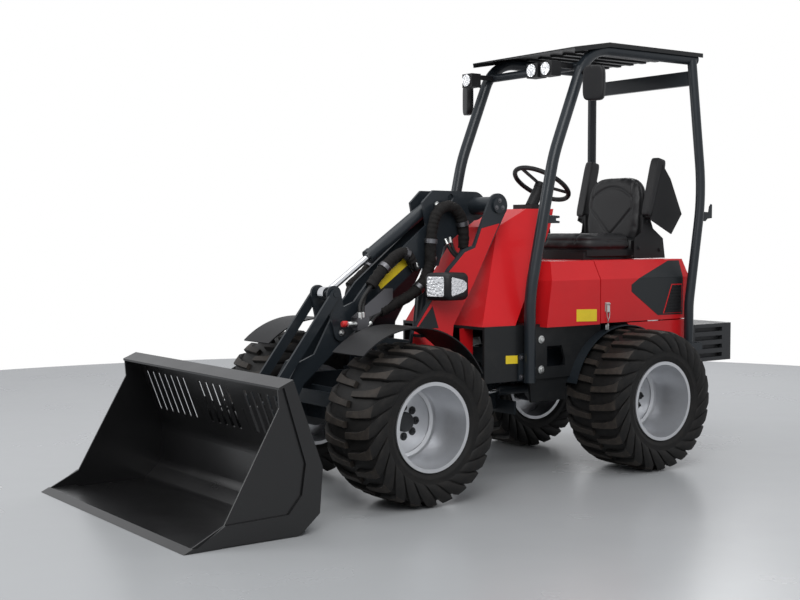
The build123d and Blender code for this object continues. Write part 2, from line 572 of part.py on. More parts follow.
def make_bucket():
    """A welded shell with side plates, a cutting edge, a sloping top lip and slots in its upper back."""
    half_wall = BUCKET_SHELL / 2
    middle = [(BUCKET_TIP_X - 60, half_wall), (775, half_wall), (679, 84), (664, 279), (806, 653)]
    line = FilletPolyline(*middle, radius=[70, 60, 120])
    plane = Plane(origin=(0, BUCKET_HALF - BUCKET_BAND, 0), x_dir=(1, 0, 0), z_dir=(0, -1, 0))
    shell_width = BUCKET_WIDTH - 2 * BUCKET_BAND
    bucket = extrude(plane * trace(line, line_width=BUCKET_SHELL), amount=shell_width, dir=(0, -1, 0))
    edge = [(BUCKET_TIP_X, 0), (BUCKET_TIP_X - 170, 0), (BUCKET_TIP_X - 170, 18), (BUCKET_TIP_X - 40, 18)]
    bucket += plate_y(edge, -BUCKET_HALF, BUCKET_HALF)
    lip = [(802, 645), (872, 618), (874, 628), (804, 657)]
    bucket += plate_y(lip, -BUCKET_HALF, BUCKET_HALF)
    side_high = BUCKET_HALF - BUCKET_BAND
    side = [(BUCKET_TIP_X - 30, 6), (775, 2), (677, 84), (662, 279), (804, 653), (873, 626), (866, 543),
            (1125, 90), (BUCKET_TIP_X - 41, 18)]
    bucket += both_sides(plate_y(side, side_high - BUCKET_SIDE, side_high))
    band = [(BUCKET_TIP_X - 41, 6), (775, 2), (677, 84), (662, 279), (800, 645), (848, 627), (745, 300),
            (765, 170), (830, 96), (1125, 90)]
    bucket += both_sides(plate_y(band, side_high, BUCKET_HALF))
    rib = [(612, 140), (672, 140), (668, 279), (742, 470), (700, 480), (612, 425)]
    bucket += both_sides(plate_y(rib, COUPLER_HALF, COUPLER_HALF + PLATE))
    lean = degrees(atan2(806 - 664, 653 - 279))
    slot = Pos(735, 0, 468) * Rot(0, lean, 0) * Box(4 * BUCKET_SHELL, SLOT_WIDTH, SLOT_LENGTH)
    cuts = []
    for group in range(SLOT_GROUPS):
        for count in range(SLOTS_PER_GROUP):
            y = (group - (SLOT_GROUPS - 1) / 2) * SLOT_GROUP_PITCH
            y += (count - (SLOTS_PER_GROUP - 1) / 2) * SLOT_PITCH
            if abs(abs(y) - COUPLER_HALF - PLATE / 2) > PLATE + SLOT_WIDTH / 2:
                cuts.append(Pos(0, y, 0) * slot)
    return bucket - cuts


# Cylinders

def make_barrel(base, end, length, radius, pin_radius):
    """A cylinder barrel in the middle plane from its base pin towards its rod's pin."""
    along = (Vector(end[0], 0, end[1]) - Vector(base[0], 0, base[1])).normalized()
    start = Vector(base[0], 0, base[1])
    barrel = bar(tuple(start + along * (radius * 0.6)), tuple(start + along * length), radius)
    barrel += bar_y(base, pin_radius + 16, -EYE_HALF - 6, EYE_HALF + 6)
    gland = length - GLAND_LENGTH
    barrel += bar(tuple(start + along * gland), tuple(start + along * length), radius + 4)
    return barrel - bar_y(base, pin_radius + RUNNING_GAP, -BOOM_INNER_Y, BOOM_INNER_Y)


def make_rod(base, end, rod_length, radius):
    """A cylinder rod with its eye on the far pin and its other end inside the barrel."""
    along = (Vector(end[0], 0, end[1]) - Vector(base[0], 0, base[1])).normalized()
    eye = Vector(end[0], 0, end[1])
    rod = bar(tuple(eye - along * rod_length), tuple(eye), radius)
    return rod + bar_y(end, CYLINDER_PIN_RADIUS + 14, -EYE_HALF, EYE_HALF)


def bored(barrel, base, end, rod_radius, length, start):
    """The barrel with the bore that its rod slides in."""
    along = (Vector(end[0], 0, end[1]) - Vector(base[0], 0, base[1])).normalized()
    foot = Vector(base[0], 0, base[1])
    return barrel - bar(tuple(foot + along * start), tuple(foot + along * length), rod_radius + RUNNING_GAP)


def make_cylinders():
    nodes = {}
    # name, base pin, rod pin, barrel length, barrel radius, base pin radius, rod length, rod radius
    for name, base, end, length, radius, pin, rod_length, rod_radius in (
        ("lift", LIFT_BASE_PIN, LIFT_ROD_PIN, LIFT_BARREL_LENGTH, LIFT_BARREL_RADIUS, LEVER_PIN_RADIUS,
         LIFT_ROD_LENGTH, LIFT_ROD_RADIUS),
        ("tilt", TILT_BASE_PIN, LEVER_TOP, TILT_BARREL_LENGTH, TILT_BARREL_RADIUS, CYLINDER_PIN_RADIUS,
         TILT_ROD_LENGTH, TILT_ROD_RADIUS),
    ):
        barrel = make_barrel(base, end, length, radius, pin)
        nodes[f"{name}_barrel"] = bored(barrel, base, end, rod_radius, length, pin + 20)
        nodes[f"{name}_rod"] = make_rod(base, end, rod_length, rod_radius)
    for name, side in (("left", 1), ("right", -1)):
        base = Vector(STEER_REAR[0], side * STEER_REAR[1], STEER_Z)
        end = Vector(STEER_FRONT[0], side * STEER_FRONT[1], STEER_Z)
        along = (end - base).normalized()
        barrel = bar(tuple(base + along * 32), tuple(base + along * STEER_BARREL_LENGTH), STEER_BARREL_RADIUS)
        barrel += bar(tuple(base), tuple(base + along * 40), STEER_EYE_HALF - 1)
        eye = (0, 0, STEER_EYE_HALF)
        barrel += bar(tuple(base - Vector(*eye)), tuple(base + Vector(*eye)), 26)
        pin_bore = STEER_PIN_RADIUS + RUNNING_GAP
        barrel -= bar(tuple(base - Vector(*eye) * 3), tuple(base + Vector(*eye) * 3), pin_bore)
        rod_bore = STEER_ROD_RADIUS + RUNNING_GAP
        barrel -= bar(tuple(base + along * 50), tuple(base + along * STEER_BARREL_LENGTH), rod_bore)
        nodes[f"steer_barrel_{name}"] = barrel
        rod = bar(tuple(end - along * STEER_ROD_LENGTH), tuple(end), STEER_ROD_RADIUS)
        nodes[f"steer_rod_{name}"] = rod + bar(tuple(end - Vector(*eye)), tuple(end + Vector(*eye)), 22)
    return nodes


# Rear frame

def make_rear_chassis():
    front, rear = REAR_CHASSIS_FRONT_X, REAR_CHASSIS_REAR_X
    inner = REAR_CHASSIS_OUTER_Y - PLATE
    # The side plates start above the steering cylinders, which swing out under them
    raised = STEER_Z + STEER_BARREL_RADIUS + 20
    side = [(front, raised), (front - 175, raised), (front - 230, FRAME_BOTTOM_Z), (rear, FRAME_BOTTOM_Z),
            (rear, REAR_CHASSIS_TOP_Z), (front, REAR_CHASSIS_TOP_Z)]
    frame = both_sides(plate_y(side, inner, REAR_CHASSIS_OUTER_Y))
    frame += block((rear, rear + PLATE), (-inner, inner), (FRAME_BOTTOM_Z, REAR_CHASSIS_TOP_Z))
    frame += block((front - PLATE, front), (-inner, inner), (TONGUE_LOW_Z + 10, REAR_CHASSIS_TOP_Z))
    middle = REAR_AXLE_X + 210
    frame += block((middle, middle + PLATE), (-inner, inner), (FRAME_BOTTOM_Z, REAR_CHASSIS_TOP_Z - 80))
    # Hinge hub between the front frame's two plates, and the web that carries it
    low = TONGUE_LOW_Z + TONGUE_THICKNESS + 4
    high = TOWER_DECK_Z - TONGUE_THICKNESS - 4
    hub = block((front, PIVOT_X), (-50, 50), (low, high))
    hub += bar((PIVOT_X, 0, low), (PIVOT_X, 0, high), HINGE_RADIUS)
    hub -= bar((PIVOT_X, 0, low), (PIVOT_X, 0, high), HINGE_PIN_RADIUS + RUNNING_GAP)
    frame += hub
    # Steering cylinder brackets
    sx, sy = STEER_REAR
    bracket = block((sx - 90, sx - 64), (sy - 30, inner + 1), (STEER_Z - 40, STEER_Z + 40))
    for low in (STEER_Z - STEER_EYE_HALF - 16, STEER_Z + STEER_EYE_HALF + 6):
        bracket += block((sx - 90, sx), (sy - 26, sy + 26), (low, low + 10))
        bracket += bar((sx, sy, low), (sx, sy, low + 10), 26)
    bracket += bar((sx, sy, STEER_Z - 28), (sx, sy, STEER_Z + 28), STEER_PIN_RADIUS)
    frame += both_sides(bracket)
    # Windows in the front wall for the steering cylinders
    frame -= both_sides(block((front - PLATE - 1, front + 1), (70, inner), (STEER_Z - 60, STEER_Z + 60)))
    # Floor bearers, rear post beams and hood bearers
    frame += both_sides(block((front - 60, front), (inner, FLOOR_HALF - PLATE), BEARER_Z))
    frame += both_sides(block((rear, rear + 100), (inner, REAR_POST_Y + 40), BEARER_Z))
    return frame


def make_platform():
    """The floor with its side panels, which carry the front posts and end in the rear wheel arch."""
    rear_x = REAR_AXLE_X + 140
    step_x = SEAT_BOX_FRONT_X + 5
    axle = (REAR_AXLE_X, AXLE_Z)
    floor = block((step_x, FLOOR_FRONT_X), (-FLOOR_HALF, FLOOR_HALF), (FLOOR_LOW_Z, FLOOR_TOP_Z))
    side = [(FLOOR_FRONT_X, SIDE_PANEL_LOW_Z), (FLOOR_FRONT_X, FLOOR_LOW_Z), (rear_x, FLOOR_LOW_Z),
            (rear_x, SIDE_PANEL_LOW_Z)]
    panel = plate_y(side, FLOOR_HALF - PLATE, FLOOR_HALF)
    panel -= bar_y(axle, REAR_ARCH_RADIUS, FLOOR_HALF - PLATE - 1, FLOOR_HALF + 1)
    low, high = SIDE_PANEL_LOW_Z + 60, SIDE_PANEL_LOW_Z + 168
    window = [(REAR_AXLE_X + 530, low), (REAR_AXLE_X + 530, high), (REAR_AXLE_X + 425, high),
              (REAR_AXLE_X + 402, low + 40), (REAR_AXLE_X + 402, low)]
    panel -= plate_y(window, FLOOR_HALF - PLATE - 1, FLOOR_HALF + 1)
    across = (REAR_CHASSIS_OUTER_Y, FLOOR_HALF)
    ledge = block((REAR_AXLE_X + 380, step_x), across, (FLOOR_LOW_Z - 8, FLOOR_LOW_Z))
    skirt_top = SIDE_PANEL_LOW_Z + 40
    skirt = [(PIVOT_X - 120, skirt_top), (REAR_AXLE_X + 350, skirt_top), (REAR_AXLE_X + 350, AXLE_Z + 6),
             (PIVOT_X - 140, AXLE_Z + 6)]
    skirt = plate_y(skirt, FLOOR_HALF - 2 * PLATE, FLOOR_HALF - PLATE)
    skirt -= bar_y(axle, REAR_ARCH_RADIUS, 0, FLOOR_HALF)
    across = (REAR_CHASSIS_OUTER_Y, FLOOR_HALF - PLATE)
    along = (REAR_CHASSIS_FRONT_X - 60, REAR_CHASSIS_FRONT_X)
    hanger = block(along, across, (REAR_CHASSIS_TOP_Z, FLOOR_LOW_Z))
    return floor + both_sides(panel + skirt + ledge + hanger)


GUARD_Y = (173, 180)


def make_front_guards():
    """Painted guards that hang from the floor's underside beside the hinge."""
    rear, front = PIVOT_X + 130, PIVOT_X + 214
    low = SIDE_PANEL_LOW_Z + 82
    outline = [(front, FLOOR_LOW_Z), (rear, FLOOR_LOW_Z), (rear, low), (front - 10, low)]
    return both_sides(plate_y(outline, *GUARD_Y))


def make_rear_fenders():
    """Arched sheets over the rear tyres, from the side panels to behind the wheel's top."""
    across = (REAR_CHASSIS_OUTER_Y + 35, HOOD_HALF + 13)
    fender = arch((REAR_AXLE_X, AXLE_Z), REAR_ARCH_RADIUS - 5, 5, (14, 112), *across)
    return both_sides(fender)


def make_quarter_panels():
    """Painted panels under the hood's rear, cut to the wheel arch."""
    top = HOOD_LOW_Z - 6
    low = REAR_CHASSIS_TOP_Z + 6
    outline = [(REAR_AXLE_X - 15, top), (HOOD_REAR_X, top), (HOOD_REAR_X, low), (REAR_AXLE_X - 170, low)]
    panel = plate_y(outline, HOOD_HALF - 8, HOOD_HALF)
    panel -= bar_y((REAR_AXLE_X, AXLE_Z), REAR_ARCH_RADIUS + 0.2, 0, HOOD_HALF + 1)
    across = (REAR_CHASSIS_OUTER_Y, HOOD_HALF - 8)
    brace = block((HOOD_REAR_X, HOOD_REAR_X + 12), across, (REAR_CHASSIS_TOP_Z, top))
    return both_sides(panel + brace)


# The console's outside from the floor up: height, front x, rear x, front half width, rear half width
CONSOLE_SECTIONS = (
    (FLOOR_TOP_Z, PIVOT_X + 188, PIVOT_X - 21, 325, 340),
    (FLOOR_TOP_Z + 505, PIVOT_X - 50, PIVOT_X - 375, 160, 215),
    (FLOOR_TOP_Z + 602, PIVOT_X - 256, PIVOT_X - 420, 158, 190),
)
CONSOLE_WALL = 8


def console_loft(inset, rear_extra, top_drop):
    """The console's leaning body, shrunk by an inset and stretched at its open rear."""
    faces = []
    for height, front, rear, front_half, rear_half in CONSOLE_SECTIONS:
        level = height - (top_drop if height == CONSOLE_SECTIONS[-1][0] else 0)
        corners = [(front - inset, front_half - inset), (rear - rear_extra, rear_half - inset),
                   (rear - rear_extra, inset - rear_half), (front - inset, inset - front_half)]
        faces.append(Plane.XY.offset(level) * Polygon(*corners, align=None))
    return loft(faces[:2], ruled=True) + loft(faces[1:], ruled=True)


def make_console():
    """A leaning leg shield, open to the rear, that carries the steering column."""
    return console_loft(0, 0, 0) - console_loft(CONSOLE_WALL, 60, CONSOLE_WALL)


STEERING_HUB = (PIVOT_X - 497, 0, FLOOR_TOP_Z + 727)
STEERING_TILT = 32
STEERING_RADIUS = 160
COLUMN_RADIUS = 32


def make_steering_column():
    """A leaning column from the console's top to the steering wheel's hub."""
    up = Vector(-sin(radians(STEERING_TILT)), 0, cos(radians(STEERING_TILT)))
    hub = Vector(*STEERING_HUB)
    top = hub - up * (12 + RUNNING_GAP)
    foot = hub - up * 128
    column = bar(tuple(foot), tuple(top), COLUMN_RADIUS)
    pod = block((foot.X - 62, foot.X + 64), (-75, 75), (CONSOLE_SECTIONS[-1][0], foot.Z + 10))
    return column + pod


def make_steering_wheel():
    """A three-spoke steering wheel with a spinner knob."""
    plane = Plane(origin=STEERING_HUB, x_dir=(cos(radians(STEERING_TILT)), 0, sin(radians(STEERING_TILT))),
                  z_dir=(-sin(radians(STEERING_TILT)), 0, cos(radians(STEERING_TILT))))
    wheel = Pos(0, 0, 20) * Torus(STEERING_RADIUS, 13)
    wheel += Pos(0, 0, 3) * Cylinder(34, 30)
    for angle in (0, 120, 240):
        wheel += Rot(0, 0, angle) * Pos(STEERING_RADIUS / 2, 0, 11) * Box(STEERING_RADIUS, 22, 9)
    knob = Rot(0, 0, 60) * Pos(STEERING_RADIUS, 0, 52) * Cylinder(17, 44)
    return plane * (wheel + knob)


def make_pedals():
    """Two drive pedals on the floor's front part."""
    foot = PIVOT_X + 65
    top = FLOOR_TOP_Z + 95
    outline = [(foot, FLOOR_TOP_Z), (foot + 15, FLOOR_TOP_Z), (foot + 45, top), (foot + 25, top + 6)]
    pedal = plate_y(outline, -40, 40)
    return Pos(0, -190, 0) * pedal + Pos(0, 190, 0) * pedal


def hood_skin(low, front, rear, open_front, open_rear):
    """A sheet cover with sloping shoulders and an open underside, with an end wall at each closed end."""
    outside, inside = [], []
    # height, lean of the front end, half width
    levels = ((low, 0, HOOD_HALF), (HOOD_SHOULDER_Z, 35, HOOD_HALF), (HOOD_TOP_Z, 75, HOOD_HALF - 55))
    for height, lean, half in levels:
        ends = (rear, front if open_front else front - lean)
        corners = [(ends[0], -half), (ends[1], -half), (ends[1], half), (ends[0], half)]
        outside.append(Plane.XY.offset(height) * Polygon(*corners, align=None))
        level = height - HOOD_WALL if height == HOOD_TOP_Z else height
        reach = half - HOOD_WALL
        ends = (ends[0] + (-1 if open_rear else HOOD_WALL), ends[1] + (1 if open_front else -HOOD_WALL))
        corners = [(ends[0], -reach), (ends[1], -reach), (ends[1], reach), (ends[0], reach)]
        inside.append(Plane.XY.offset(level) * Polygon(*corners, align=None))
    solid = loft(outside[:2], ruled=True) + loft(outside[1:], ruled=True)
    return solid - (loft(inside[:2], ruled=True) + loft(inside[1:], ruled=True))


def make_seat_box():
    """The fixed cover between the floor and the hood, which stands on the platform's ledges."""
    return hood_skin(FLOOR_LOW_Z, SEAT_BOX_FRONT_X, HOOD_FRONT_X + HOOD_GAP, False, True)


def make_hood():
    """The engine hood that carries the seat and tilts back on two lugs at its rear."""
    hood = hood_skin(HOOD_LOW_Z, HOOD_FRONT_X, HOOD_REAR_X, True, False)
    x, z = HOOD_HINGE
    lug = block((x, HOOD_REAR_X), HINGE_LUG_Y, (z - HINGE_LUG_RADIUS, z + HINGE_LUG_RADIUS))
    lug += bar_y(HOOD_HINGE, HINGE_LUG_RADIUS, *HINGE_LUG_Y)
    lug -= bar_y(HOOD_HINGE, HOOD_PIN_RADIUS + RUNNING_GAP, *HINGE_LUG_Y)
    return hood + both_sides(lug)


def make_hood_hinges():
    """Two brackets on the counterweight with the pins that the hood tilts back on."""
    x, z = HOOD_HINGE
    inner = HINGE_LUG_Y[1] + 2
    eye = HINGE_LUG_RADIUS - 3
    outline = [(x - 60, COUNTERWEIGHT_TOP_Z), (x - 10, COUNTERWEIGHT_TOP_Z), (x + eye, z), (x, z + eye),
               (x - eye, z)]
    bracket = plate_y(outline, inner, inner + 14)
    bracket += bar_y(HOOD_HINGE, eye, inner, inner + 14)
    bracket += bar_y(HOOD_HINGE, HOOD_PIN_RADIUS, HINGE_LUG_Y[0] - 3, inner)
    return both_sides(bracket)


CUSHION_Z = (HOOD_TOP_Z + 40, HOOD_TOP_Z + 126)


def make_seat():
    """The seat's slide rails, cushion and backrest."""
    x, z = REAR_AXLE_X, CUSHION_Z[0]
    rails = block((x - 210, x + 120), (-190, 190), (HOOD_TOP_Z, z))
    cushion = block((x - 262, x + 130), (-235, 235), CUSHION_Z)
    cushion = fillet(cushion.edges().filter_by(Axis.Z), 60)
    back = plate_y([(x - 270, z), (x - 355, z), (x - 385, z + 440), (x - 315, z + 440)], -220, 220)
    carrier = block((x - 350, x - 210), (-120, 120), (HOOD_TOP_Z, z))
    return {"seat_base": rails + carrier, "seat_cushion": cushion, "seat_back": back}


def make_armrests():
    """Two armrests folded up beside the backrest, each with the side shield behind it."""
    x, z = REAR_AXLE_X - 320, CUSHION_Z[0]
    bracket = block((x - 25, x + 25), (220, 236), (z + 30, z + 210))
    rest = Pos(x - 35, 262, z + 362) * Rot(0, -14, 0) * Box(58, 52, 300)
    pin = bar((x, 220, z + 200), (x, 290, z + 200), 16)
    shield = [(x - 75, z + 490), (x - 140, z + 412), (x - 235, z + 214), (x - 150, z + 100), (x + 20, z + 180)]
    return both_sides(bracket + rest + pin + plate_y(shield, 288, 294))


def make_control_box():
    """The lever console beside the seat, with its joystick."""
    x, z = REAR_AXLE_X - 30, CUSHION_Z[0]
    outline = [(x - 200, HOOD_TOP_Z), (x, HOOD_TOP_Z), (x, z + 45), (x - 40, z + 75), (x - 200, z + 85)]
    box = plate_y(outline, -322, -246)
    stick = bar((x - 40, -284, z + 60), (x - 20, -284, z + 180), 9)
    grip = bar((x - 21, -284, z + 175), (x - 10, -284, z + 245), 20)
    return box + stick + grip


def make_engine():
    """The engine and pumps as one plain block on the chassis rails."""
    return block((REAR_AXLE_X - 370, REAR_AXLE_X + 160), (-210, 210), (REAR_CHASSIS_TOP_Z, HOOD_TOP_Z - 130))


def make_counterweight():
    """A cast rear weight with four grooves in each flank."""
    weight = block((REAR_END_X, REAR_CHASSIS_REAR_X), (-COUNTERWEIGHT_HALF, COUNTERWEIGHT_HALF),
                   (COUNTERWEIGHT_LOW_Z, COUNTERWEIGHT_TOP_Z))
    weight = fillet(weight.edges().filter_by(Axis.Z), 18)
    grooves = []
    for count in range(4):
        z = COUNTERWEIGHT_LOW_Z + 34 + count * 49
        length = (REAR_END_X + 87, REAR_CHASSIS_REAR_X - 25)
        grooves.append(block(length, (COUNTERWEIGHT_HALF - 30, COUNTERWEIGHT_HALF + 1), (z - 12, z + 12)))
    return weight - both_sides(Part() + grooves)


HITCH_X = REAR_END_X + 77
HITCH_PIN_RADIUS = 15
HITCH_Z = (COUNTERWEIGHT_LOW_Z - 91, COUNTERWEIGHT_LOW_Z)


def make_hitch():
    """A tow jaw under the counterweight, two tongues bored for a drop pin."""
    tongues = block((HITCH_X + 50, REAR_CHASSIS_REAR_X - 30), (-55, 55), HITCH_Z)
    for low in (HITCH_Z[0], HITCH_Z[1] - 24):
        tongues += block((HITCH_X, HITCH_X + 60), (-45, 45), (low, low + 20))
        tongues += bar((HITCH_X, 0, low), (HITCH_X, 0, low + 20), 45)
    return tongues - bar((HITCH_X, 0, HITCH_Z[0]), (HITCH_X, 0, HITCH_Z[1]), HITCH_PIN_RADIUS)


# Canopy

def hoop_tube(radius):
    """One side's front post, bent over into the roof rail."""
    foot = PIVOT_X - 85
    points = [(foot, POST_Y, SIDE_PANEL_LOW_Z - 10), (foot, POST_Y, FLOOR_TOP_Z + 155),
              (foot - 160, POST_Y, ROOF_TUBE_Z - 568), (foot - 395, POST_Y, ROOF_TUBE_Z),
              (REAR_AXLE_X - 555, POST_Y, ROOF_TUBE_Z)]
    return tube(points, [900, 900, 230], radius)


def make_canopy():
    hoop = hoop_tube(POST_RADIUS)
    clear = hoop_tube(POST_RADIUS + 0.05)
    foot = PIVOT_X - 85
    plate_z_span = (SIDE_PANEL_LOW_Z, SIDE_PANEL_LOW_Z + 140)
    hoop += block((foot - 55, foot + 55), (FLOOR_HALF, FLOOR_HALF + 10), plate_z_span)
    post_x = REAR_AXLE_X - 460
    rear = [(post_x - 55, POST_Y + 14, ROOF_TUBE_Z - 4), (post_x - 98, REAR_POST_Y, ROOF_TUBE_Z - 748),
            (post_x, REAR_POST_Y, HOOD_LOW_Z + 84), (post_x, REAR_POST_Y, REAR_CHASSIS_TOP_Z)]
    post = tube(rear, [1500, 500], POST_RADIUS - 4)
    post -= clear
    rear_bar = block((post_x - 85, post_x - 55), (-POST_Y, POST_Y), (ROOF_TUBE_Z - 143, ROOF_TUBE_Z - 63))
    nodes = {"canopy_hoop_left": hoop, "canopy_hoop_right": mirror(hoop, about=Plane.XZ)}
    nodes["canopy_rear_posts"] = both_sides(post) + rear_bar
    cross_bar = bar((CROSS_BAR[0], 0, CROSS_BAR[1]), (CROSS_BAR[0], POST_Y, CROSS_BAR[1]), CROSS_BAR_RADIUS)
    nodes["canopy_cross_bar"] = both_sides(cross_bar - clear)
    return nodes


def make_roof():
    """A folded roof sheet on the two hoops, with stiffening ribs along it."""
    low = ROOF_TUBE_Z + POST_RADIUS
    high = low + ROOF_THICKNESS
    front, bend, rear = PIVOT_X - 360, PIVOT_X - 611, REAR_AXLE_X - 580
    outline = [(front, low - ROOF_DROP), (bend, low), (rear, low), (rear, high), (bend + 2, high),
               (front + 2, high - ROOF_DROP)]
    roof = plate_y(outline, -ROOF_HALF, ROOF_HALF)
    for count in range(ROOF_RIBS):
        y = (count - (ROOF_RIBS - 1) / 2) * ROOF_RIB_PITCH
        roof += block((rear + 30, bend - 64), (y - 16, y + 16), (low - 12, low))
    lip = [(front + 2, high - ROOF_DROP), (bend + 2, high), (rear, high), (rear, low - 18),
           (bend - 4, low - 18), (front - 3, low - ROOF_DROP - 20)]
    return roof + both_sides(plate_y(lip, ROOF_HALF, ROOF_HALF + 5))


# distances out from the middle plane
WORK_LIGHTS_Y = (-330, 210, 318)


def make_work_lights():
    """Three box lamps on the front cross bar."""
    x, z = CROSS_BAR
    lamps = []
    for y in WORK_LIGHTS_Y:
        lamp = block((x + 138, x + 203), (y - 42, y + 42), (z - 63, z + 12))
        reach = x + CROSS_BAR_RADIUS + RUNNING_GAP
        lamps.append(lamp + block((reach, x + 138), (y - 10, y + 10), (z - 15, z + 10)))
    return Part() + lamps


def make_mirrors():
    """Two mirrors on short arms from the hoops."""
    x, z = CROSS_BAR[0] + 63, CROSS_BAR[1] - 25
    arm = bar((x - 40, POST_Y, z - 25), (x, 500, z), 9) + bar((x, 500, z), (x, 500, z - 70), 9)
    arm -= hoop_tube(POST_RADIUS + 0.05)
    head = Box(40, 115, 180)
    head = fillet(head.edges().filter_by(Axis.X), 28)
    head = Pos(x - 15, 512, z - 82) * Rot(0, 0, -25) * head
    return both_sides(arm + head)


def all_nodes():
    nodes = make_wheels()
    nodes["front_axle"] = make_axle(0)
    nodes["rear_axle"] = make_axle(REAR_AXLE_X)
    nodes["front_chassis"] = make_front_chassis()
    nodes["tower"] = make_tower()
    nodes["front_fenders"] = make_front_fenders()
    nodes["front_guards"] = make_front_guards()
    nodes["headlamps"] = make_headlamps()
    nodes["boom"] = make_boom()
    nodes["boom_hoses"] = make_boom_hoses()
    nodes["hydraulic_block"] = make_hydraulic_block()
    nodes["tilt_lever"] = make_tilt_lever()
    nodes["tilt_link"] = make_tilt_link()
    nodes["coupler"] = make_coupler()
    nodes["bucket"] = make_bucket()
    nodes.update(make_cylinders())
    nodes["rear_chassis"] = make_rear_chassis()
    nodes["platform"] = make_platform()
    nodes["rear_fenders"] = make_rear_fenders()
    nodes["quarter_panels"] = make_quarter_panels()
    nodes["console"] = make_console()
    nodes["steering_column"] = make_steering_column()
    nodes["steering_wheel"] = make_steering_wheel()
    nodes["pedals"] = make_pedals()
    nodes["seat_box"] = make_seat_box()
    nodes["hood"] = make_hood()
    nodes["hood_hinges"] = make_hood_hinges()
    nodes.update(make_seat())
    nodes["armrests"] = make_armrests()
    nodes["control_box"] = make_control_box()
    nodes["engine"] = make_engine()
    nodes["counterweight"] = make_counterweight()
    nodes["tow_hitch"] = make_hitch()
    nodes.update(make_canopy())
    nodes["roof"] = make_roof()
    nodes["work_lights"] = make_work_lights()
    nodes["mirrors"] = make_mirrors()
    return nodes


def main():
    os.makedirs("parts", exist_ok=True)
    for name, shape in all_nodes().items():
        export_step(Pos(SHIFT_X, 0, 0) * shape, f"parts/{name}.step")


if __name__ == "__main__":
    main()
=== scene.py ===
import json
import math

import bmesh
import bpy
from bpy.props import FloatProperty, FloatVectorProperty, IntProperty, PointerProperty
from mathutils import Matrix, Vector


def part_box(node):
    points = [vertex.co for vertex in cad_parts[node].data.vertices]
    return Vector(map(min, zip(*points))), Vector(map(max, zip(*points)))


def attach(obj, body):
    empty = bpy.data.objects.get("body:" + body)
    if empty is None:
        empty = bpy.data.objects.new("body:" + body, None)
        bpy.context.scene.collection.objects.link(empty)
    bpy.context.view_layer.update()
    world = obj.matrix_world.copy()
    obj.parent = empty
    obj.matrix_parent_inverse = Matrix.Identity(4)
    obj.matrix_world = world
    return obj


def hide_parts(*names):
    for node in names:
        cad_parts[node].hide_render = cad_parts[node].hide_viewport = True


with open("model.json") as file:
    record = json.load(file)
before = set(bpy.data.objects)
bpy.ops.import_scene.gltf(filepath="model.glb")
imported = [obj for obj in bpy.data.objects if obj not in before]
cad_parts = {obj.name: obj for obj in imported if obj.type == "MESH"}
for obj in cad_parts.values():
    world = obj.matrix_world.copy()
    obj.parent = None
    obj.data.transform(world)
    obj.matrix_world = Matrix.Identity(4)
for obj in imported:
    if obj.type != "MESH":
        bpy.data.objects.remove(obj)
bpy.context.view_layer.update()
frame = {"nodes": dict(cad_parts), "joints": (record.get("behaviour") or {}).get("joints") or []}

bl_info = {
    "name": "Compact Wheel Loader",
    "version": (1, 0, 0),
    "blender": (4, 5, 0),
    "location": "3D View > Sidebar > Loader",
    "description": "Dresses the loader's frame with tyres, upholstery, hoses, lamps, trim and finishes",
    "category": "Object",
}

# Places in the frame

JOINTS = {joint["name"]: joint for joint in frame["joints"]}
FRONT_AXLE = Vector(JOINTS["wheel_turn_front_left"]["pos_m"])
WHEELS = ("front_left", "front_right", "rear_left", "rear_right")
MM = 0.001
FORWARD = Vector((1, 0, 0))
LEFT = Vector((0, 1, 0))
UP = Vector((0, 0, 1))


def place(x, y, z):
    """A point from millimetres ahead of the front axle, to the left of the middle and above the floor."""
    return Vector((x * MM + FRONT_AXLE.x, y * MM, z * MM))


def joint_place(name):
    return Vector(JOINTS[name]["pos_m"])


def node_size(name, axis):
    low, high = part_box(name)
    return high[axis] - low[axis]


# Settings that a user would change

def size(name, description, default):
    return FloatProperty(
        name=name, description=description, default=default, min=0.0005, subtype="DISTANCE", unit="LENGTH")


def colour(name, description, default):
    return FloatVectorProperty(
        name=name, description=description, default=default, size=3, min=0, max=1, subtype="COLOR")


class LoaderSizes(bpy.types.PropertyGroup):
    """Sizes of the pieces that dress the frame."""

    tyre_radius: size("Tyre radius", "From the axle to the top of a lug", node_size("tyre_front_left", 2) / 2)
    tyre_width: size("Tyre width", "Across the sidewalls", node_size("tyre_front_left", 1))
    lug_height: size("Lug height", "From the carcass to the top of a lug", 0.022)
    lug_count: IntProperty(
        name="Lugs a side", description="Tread lugs round each side of a tyre", default=24, min=8, max=48)
    nut_radius: size("Nut radius", "Across the corners of a wheel nut, halved", 0.013)
    bolt_radius: size("Bolt radius", "Across the corners of a bolt head, halved", 0.011)
    sleeve_radius: size("Sleeve radius", "Half of a hose bundle's thickness in its sleeve", 0.030)
    hose_radius: size("Hose radius", "Half of a single hose's thickness", 0.0085)
    seam_depth: size("Seam depth", "How far a sewn seam pulls the seat's cover in", 0.007)


